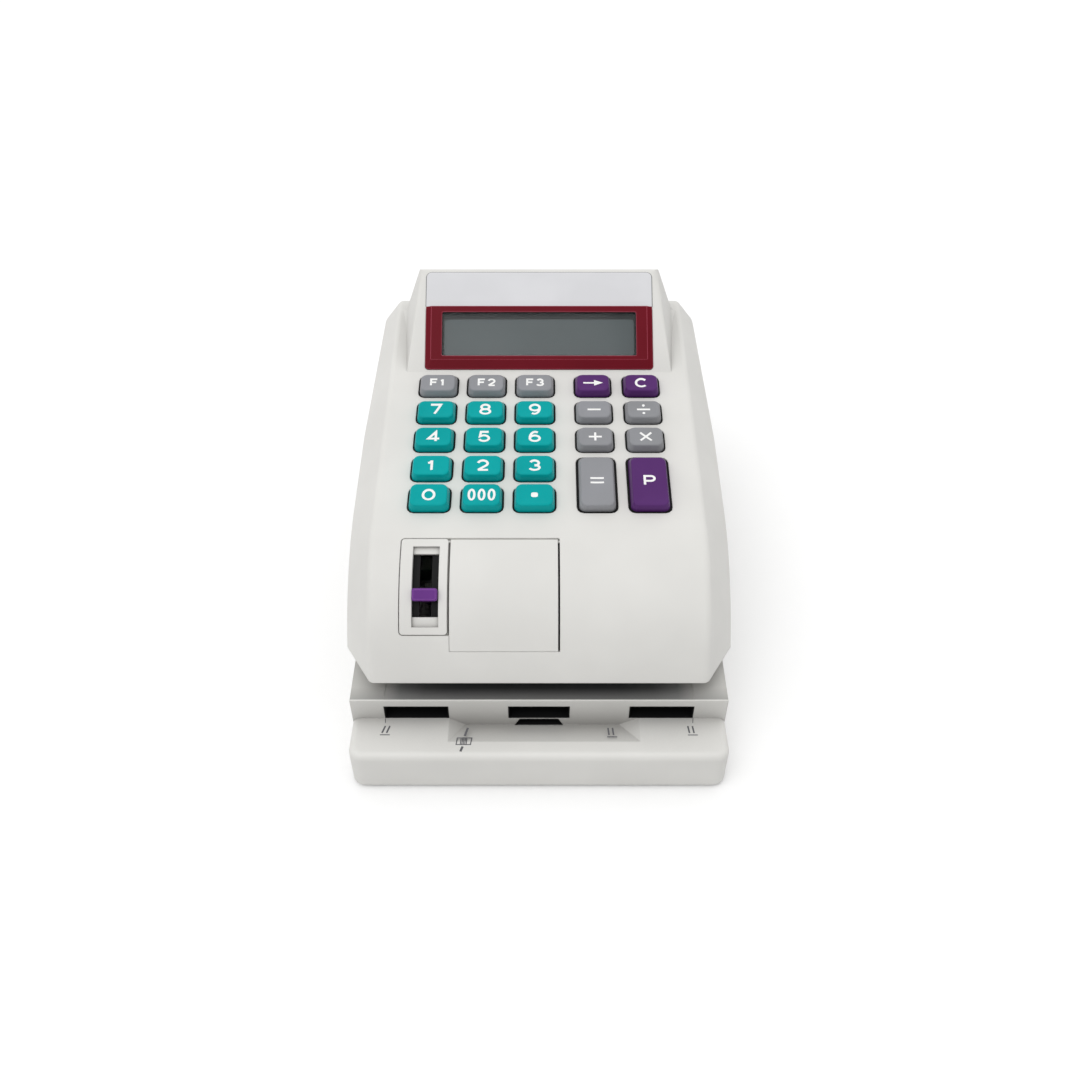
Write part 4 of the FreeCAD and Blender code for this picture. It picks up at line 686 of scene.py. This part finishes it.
def ribbon(points, pen):
    """Points and faces of a flat ribbon, pen wide, along a line or a closed loop."""
    closed = len(points) > 3 and (Vector(points[0]) - Vector(points[-1])).length < 1e-4
    line = [Vector(point) for point in (points[:-1] if closed else points)]
    count = len(line)
    sides = []
    for index, here in enumerate(line):
        before = line[index - 1] if index or closed else None
        after = line[(index + 1) % count] if index + 1 < count or closed else None
        into = (here - before).normalized() if before is not None else (after - here).normalized()
        out = (after - here).normalized() if after is not None else into
        across = Vector((-(into + out).y, (into + out).x)).normalized()
        mitre = across * pen / 2 / max(across.dot(Vector((-into.y, into.x))), SHARPEST)
        sides.append((here + mitre, here - mitre))
    flat = [side for pair in sides for side in pair]
    steps = count if closed else count - 1
    faces = [(2 * i, 2 * i + 1, 2 * ((i + 1) % count) + 1, 2 * ((i + 1) % count)) for i in range(steps)]
    return flat, faces


def finely(points, longest=0.8):
    """The same line with points no more than longest mm apart, so that it can bend with the cap."""
    fine = [points[0]]
    for start, end in zip(points, points[1:]):
        pieces = max(1, math.ceil((Vector(end) - Vector(start)).length / longest))
        fine += [tuple(Vector(start).lerp(Vector(end), (i + 1) / pieces)) for i in range(pieces)]
    return fine


def joined(parts):
    """Several lists of flat points and faces as one."""
    flat, faces = [], []
    for points, quads in parts:
        faces += [tuple(index + len(flat) for index in quad) for quad in quads]
        flat += points
    return flat, faces


def sign(name, width, height, pen, centre=(0.0, 0.0)):
    """Ribbons of a sign, width by height mm over all, as flat points and faces."""
    def placed(x, y):
        return centre[0] + (x - 0.5) * (width - pen), centre[1] + (y - 0.5) * (height - pen)

    return joined(ribbon(finely([placed(x, y) for x, y in stroke]), pen) for stroke in STROKES[name])


def disc(points):
    """One flat face round a list of points."""
    return points, [tuple(range(len(points)))]


PEN = 1.25
FINE_PEN = 1.1
print("ribbons of a 4:", len(sign("4", 7.2, 7.2, PEN)[1]), "faces")

# %% [markdown]
# The printed layer is 0.03 mm thick. Each point is lifted that far over the dipped top of its cap, so
# the ink neither sinks in nor floats. Digits are about 7 mm wide and high; the three noughts are
# narrow, so that they fit side by side.

# %% Print the keys
INK_LIFT = 0.03
DIGIT_HEIGHT = 7.2
FUNCTION_HEIGHT = 5.2
FUNCTION_RISE = 0.3
LEGENDS = {digit: sign(digit, 6.4 if digit == "1" else 7.2, DIGIT_HEIGHT, PEN) for digit in "0123456789"}
LEGENDS["000"] = joined(sign("0", 4.1, 7.4, 1.15, (x, 0.0)) for x in (-4.9, 0.0, 4.9))
for digit, width, aside in (("1", 3.9, 2.3), ("2", 5.0, 2.7), ("3", 5.0, 2.7)):
    LEGENDS[f"f{digit}"] = joined((sign("F", 4.8, FUNCTION_HEIGHT, FINE_PEN, (-aside, FUNCTION_RISE)),
                                   sign(digit, width, FUNCTION_HEIGHT, FINE_PEN, (aside, FUNCTION_RISE))))
LEGENDS["clear"] = sign("C", 7.2, 6.4, PEN)
LEGENDS["print"] = sign("P", 6.8, 6.6, 1.2, (0.0, 0.6))
LEGENDS["minus"] = sign("minus", 8.0, 5.0, FINE_PEN)
LEGENDS["plus"] = sign("plus", 7.8, 6.4, FINE_PEN)
LEGENDS["times"] = sign("times", 6.8, 6.2, FINE_PEN)
LEGENDS["equals"] = sign("equals", 7.8, 6.4, FINE_PEN, (0.0, 0.6))

# Two dots above and below the bar, a larger rounded one for the point, and a triangle for a head.
DOT_RADIUS = 0.75
dot = [(x * DOT_RADIUS, y * DOT_RADIUS) for x, y in arc(0.0, 0.0, 1.0, 1.0, 0, 340, 17)]
dots = [disc([(x, y + rise) for x, y in dot]) for rise in (-2.5, 2.5)]
LEGENDS["divide"] = joined([LEGENDS["minus"]] + dots)
LEGENDS["point"] = disc([(x * 1.05, y * 1.05) for x, y, _ in ring(3.2, 2.8, 0.9, 0.0, 3)])
shaft = ribbon(finely([(-5.2, 0.0), (1.0, 0.0)]), 1.0)
LEGENDS["arrow"] = joined([shaft, ([(0.6, 1.9), (5.4, 0.0), (0.6, -1.9)], [(2, 1, 0)])])


def print_on_key(name, flat, faces):
    """Lay flat points over the dished top of a cap and bring them to the keyboard."""
    place, width, length, lean, _ = key_places[name]
    top_length, reach = top_size(width, length, lean)
    points = []
    for x, y in flat:
        inward = min(width / 2 - abs(x), top_length / 2 - abs(y)) - CAP_RIM
        points.append((x, y, CAP_TOP - dish_at(max(inward, 0.0), reach) + INK_LIFT))
    legend = mesh_object(f"sign_{name}", leaned(points, length, lean), faces)
    legend.data.transform(place)
    legend.data.materials.append(ink_white)
    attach(legend, f"key_{name}")


for name, (flat, faces) in LEGENDS.items():
    print_on_key(name, flat, faces)
print("signs printed:", len(LEGENDS))

# %% [markdown]
# ## Marks on the table
# The user lines a check up with marks printed in front of the riser: two short slanted strokes with a
# line under them at each place where the check's edge may lie, and a small hatched box on the line
# where the amount is printed. They are ribbons again, flat on the table.

# %% Print the table
TABLE_TOP = 25.0
STROKE_LENGTH = 4.2
STROKE_STEP = 2.2
UNDERLINE_DROP = 5.3


def edge_mark(x, y, lean):
    """Two strokes that lean by lean mm, with a line under them."""
    strokes = [ribbon([(start, y), (start + lean, y - STROKE_LENGTH)], 0.8) for start in (x, x + STROKE_STEP)]
    low = y - UNDERLINE_DROP
    return strokes + [ribbon([(x + lean - 0.9, low), (x + lean + 3.9, low)], 0.55)]


marks = []
for x, y, lean in ((-74.9, 18.3, -1.2), (33.6, 17.1, 0.3), (72.6, 18.2, 0.4)):
    marks += edge_mark(x, y, lean)
MARK_LINES = (
    # pen, then the points of one line: from the outer marks to the riser,
    (0.35, (-75.1, 20.0), (-75.4, 22.9)), (0.35, (75.2, 20.0), (75.6, 22.9)),
    # the line of print, and the box on it
    (1.1, (-34.6, 17.1), (-35.9, 12.3)), (1.1, (-36.6, 6.2), (-37.5, 3.3)),
    (0.5, (-39.4, 11.2), (-32.4, 11.2), (-32.9, 7.3), (-39.8, 7.3), (-39.4, 11.2)),
)
marks += [ribbon(line, pen) for pen, *line in MARK_LINES]
marks += [ribbon([(x, 11.0), (x - 0.15, 7.5)], 0.45) for x in (-37.6, -36.9, -36.2, -35.5, -34.8)]
flat, faces = joined(marks)
table_marks = mesh_object("table_marks", [(x, y + FRONT_EDGE, TABLE_TOP + INK_LIFT) for x, y in flat], faces)
table_marks.data.materials.append(ink_grey)
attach(table_marks, "housing")
print("faces in the table's marks:", len(faces))

# %% [markdown]
# ## Round the display
# The maroon surround and the plate above it share one outline: square where they meet, rounded at the outer
# corners. The surround rises from a low rim over wide bevels to a flat frame, and its ridges carry a painted
# highlight, a lighter maroon along them. Both are drawn again here as stacks of outlines, so that their
# corners can differ. A black border printed on the window's back hides the panel's edge, and its wide top
# band is painted shade for the shadow under the opening's upper wall; the panel's front sheet lies just under
# it.

# %% The display's own plane
HUMP_FOOT = (188.6, 116.32)
HUMP_SLOPE = 38.0
display = plane(HUMP_FOOT, HUMP_SLOPE)
SQUARE = 0.12    # radius of a corner that looks square


def outline(width, low, high, low_radius, high_radius, height, steps=6):
    """Rounded rectangle from low to high up the slope, with its own radius at either end."""
    points = []
    for index, side in enumerate((1, -1, -1, 1)):
        radius = high_radius if index < 2 else low_radius
        middle = high - radius if index < 2 else low + radius
        for step in range(steps + 1):
            turn = math.pi / 2 * (index + step / steps)
            points.append((side * (width / 2 - radius) + radius * math.cos(turn),
                           middle + radius * math.sin(turn), height))
    return points


def on_display(name, points, faces, material):
    """A piece in the display's plane, on the housing."""
    made = mesh_object(name, points, faces)
    made.data.transform(display)
    made.data.materials.append(material)
    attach(made, "housing")
    return made


print("a square corner's radius:", SQUARE, "mm")

# %% Surround and plate
PLATE_WIDTH = 125.0
SURROUND_LOW = 1.3
MEETING = 37.3    # where the surround ends and the plate begins
PLATE_HIGH = 57.3
OPENING = (107.0, 8.7, 33.9, 1.0, 1.0)
SURROUND = (
    # width, lower edge, upper edge, lower and upper corner radius, height
    (PLATE_WIDTH, SURROUND_LOW, MEETING, 2.0, SQUARE, -0.95),
    (PLATE_WIDTH, SURROUND_LOW, MEETING, 2.0, SQUARE, 0.4),
    (119.0, 6.5, MEETING, 0.6, SQUARE, 1.6),
    (*OPENING, 1.6), (*OPENING, 0.8),
)
points, faces = stacked([outline(*level) for level in SURROUND])
surround = on_display("display_surround", points, faces[:-1], finishes["bezel_maroon"])
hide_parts("display_bezel")
smooth(surround, 8.0)

PLATE = (PLATE_WIDTH, MEETING, PLATE_HIGH, SQUARE, 3.0)
PLATE_TOP = (PLATE_WIDTH - 0.4, MEETING, PLATE_HIGH - 0.2, SQUARE, 2.8)
levels = [outline(*level) for level in ((*PLATE, 0.0), (*PLATE, 0.6), (*PLATE_TOP, 0.8))]
plate_bare = on_display("plate_bare", *stacked(levels), finishes["plate"])
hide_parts("name_plate")
smooth(plate_bare, 30.0)
print("surround and plate:", len(surround.data.polygons) + len(plate_bare.data.polygons), "faces")


# %% Thin parts at the display
def border(name, outer, inner, material):
    """A flat frame between two outlines at one height."""
    count = len(outer)
    faces = [(i, (i + 1) % count, count + (i + 1) % count, count + i) for i in range(count)]
    return on_display(name, outer + inner, faces, material)


BORDER_HEIGHT = -0.9
SHEET_HEIGHT = -0.94
JOINT_HEIGHT = 0.05
# The border's wide top band is painted shade, for the shadow that the opening's upper wall casts on the
# panel.
border("window_border", outline(108.0, 8.2, 34.4, 1.2, 1.2, BORDER_HEIGHT),
       outline(104.6, 9.4, 30.4, 1.8, 1.8, BORDER_HEIGHT), black_print_and_shade)
border("plate_joint", outline(PLATE_WIDTH + 0.7, MEETING, PLATE_HIGH + 0.4, SQUARE, 3.3, JOINT_HEIGHT),
       outline(*PLATE, JOINT_HEIGHT), black_print_and_shade)
on_display("lcd_front_sheet", *disc(outline(106.0, 8.9, 31.4, 1.0, 1.0, SHEET_HEIGHT)), panel)
print("thin parts lie between", SHEET_HEIGHT, "and", JOINT_HEIGHT, "mm from the display's plane")

# %% [markdown]
# ## The check's path
# Between the raised cheeks the check slides on the deck, and there a dark sheet of painted shade stands in
# for the shadow under the head, so little light comes back out of the slot. The painted shade is darkest
# under the middle of the head and fades towards both ends and the riser, so that it has no hard edge. It
# leaves the platen and the feed tyres free.

# %% The throat's painted shade
# Shares of the way from the middle to either end, with the painted shade's colour there.
THROAT_SHADE_STOPS = ((0.0, "323233"), (0.45, "363637"), (0.62, "474747"), (0.75, "686868"), (0.83, "9A9996"),
          (1.0, "C6C5C1"))
THROAT_SHADE_HALF = 90.0
# Over this stretch behind the riser the painted shade loses the half that it mixes with a mid grey.
THROAT_SHADE_FRONT = (24.0, 31.0)
# The colour is painted shade: dark in the middle of the slot, lighter towards both ends and the riser.
painted_throat_shade, tree, shader = surface("throat_shade_painted_sheet", Roughness=0.55, IOR=1.5,
                                 Specular_IOR_Level=0.2)
place = node(tree, "ShaderNodeSeparateXYZ", {0: node(tree, "ShaderNodeTexCoord").outputs["Object"]})
aside = node(tree, "ShaderNodeMath", {0: place.outputs["X"]}, operation="ABSOLUTE")
across = node(tree, "ShaderNodeMath", {0: aside.outputs[0], 1: THROAT_SHADE_HALF * MM}, operation="DIVIDE")
shade_across = ramp(tree, across.outputs[0], THROAT_SHADE_STOPS)
near = node(tree, "ShaderNodeMapRange",
            {"Value": place.outputs["Y"], "From Min": (THROAT_SHADE_FRONT[0] + FRONT_EDGE) * MM,
             "From Max": (THROAT_SHADE_FRONT[1] + FRONT_EDGE) * MM, "To Min": 0.5, "To Max": 0.0})
throat_shade_colour = mixed_colour(tree, near.outputs[0], shade_across, colour("8A8A88"))
tree.links.new(throat_shade_colour, shader.inputs["Base Color"])
tree.links.new(grain(tree, *PRINT_GRAIN), shader.inputs["Normal"])
print("stops in the print:", len(THROAT_SHADE_STOPS))

# %% The painted shade sheet on the deck
DECK_TOP = 38.4
CHEEK_RISE = 1.4
CHEEK_RUN = (23.0, 47.0)    # front and rear of the cheeks' lead-in
CHEEK_X = 75.0
SHADE_SHEET_X = CHEEK_X - 0.4      # beside the cheeks the shade sheet stays clear of them
SHADE_SHEET_END = 91.4
SHADE_SHEET_FRONT = 23.9
SHADE_SHEET_REAR = 111.5
PLATEN = (-45.5, -28.5, 60.0)    # left, right and rear of the hole round the platen
TYRES = (22.0, 34.0)             # left and right of the holes round the tyres
TYRE_ROW = (65.0, 73.0)          # front and rear of the rear tyre's hole
FLAT_STRIPS = (
    # left, right, front and rear of each strip
    (-CHEEK_X, CHEEK_X, SHADE_SHEET_FRONT, CHEEK_RUN[1]),
    (-SHADE_SHEET_X, PLATEN[0], CHEEK_RUN[1], PLATEN[2]), (PLATEN[1], TYRES[0], CHEEK_RUN[1], PLATEN[2]),
    (TYRES[1], SHADE_SHEET_X, CHEEK_RUN[1], PLATEN[2]), (-SHADE_SHEET_X, SHADE_SHEET_X, PLATEN[2], TYRE_ROW[0]),
    (-SHADE_SHEET_X, TYRES[0], *TYRE_ROW), (TYRES[1], SHADE_SHEET_X, *TYRE_ROW), (-SHADE_SHEET_X, SHADE_SHEET_X, TYRE_ROW[1], SHADE_SHEET_REAR),
)
# Over each cheek the shade sheet climbs the lead-in with it.
CHEEK_STRIPS = ((-SHADE_SHEET_END, -CHEEK_X, SHADE_SHEET_FRONT, CHEEK_RUN[1]),
                (CHEEK_X, SHADE_SHEET_END, SHADE_SHEET_FRONT, CHEEK_RUN[1]))


def shade_sheet_strip(left, right, front, rear, climbs):
    """The corners of one strip on the deck, or on the slope of a cheek's lead-in."""
    made = []
    for x, y in ((left, front), (right, front), (right, rear), (left, rear)):
        share = (y - CHEEK_RUN[0]) / (CHEEK_RUN[1] - CHEEK_RUN[0]) if climbs else 0.0
        made.append((x, y + FRONT_EDGE, DECK_TOP + CHEEK_RISE * share + INK_LIFT))
    return made


corners = []
for climbs, strips in ((False, FLAT_STRIPS), (True, CHEEK_STRIPS)):
    for strip in strips:
        corners += shade_sheet_strip(*strip, climbs)
throat_shade_sheet = mesh_object("throat_painted_shade", corners, [tuple(range(4 * i, 4 * i + 4)) for i in range(len(corners) // 4)])
throat_shade_sheet.data.materials.append(painted_throat_shade)
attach(throat_shade_sheet, "housing")
print("strips in the film:", len(corners) // 4)
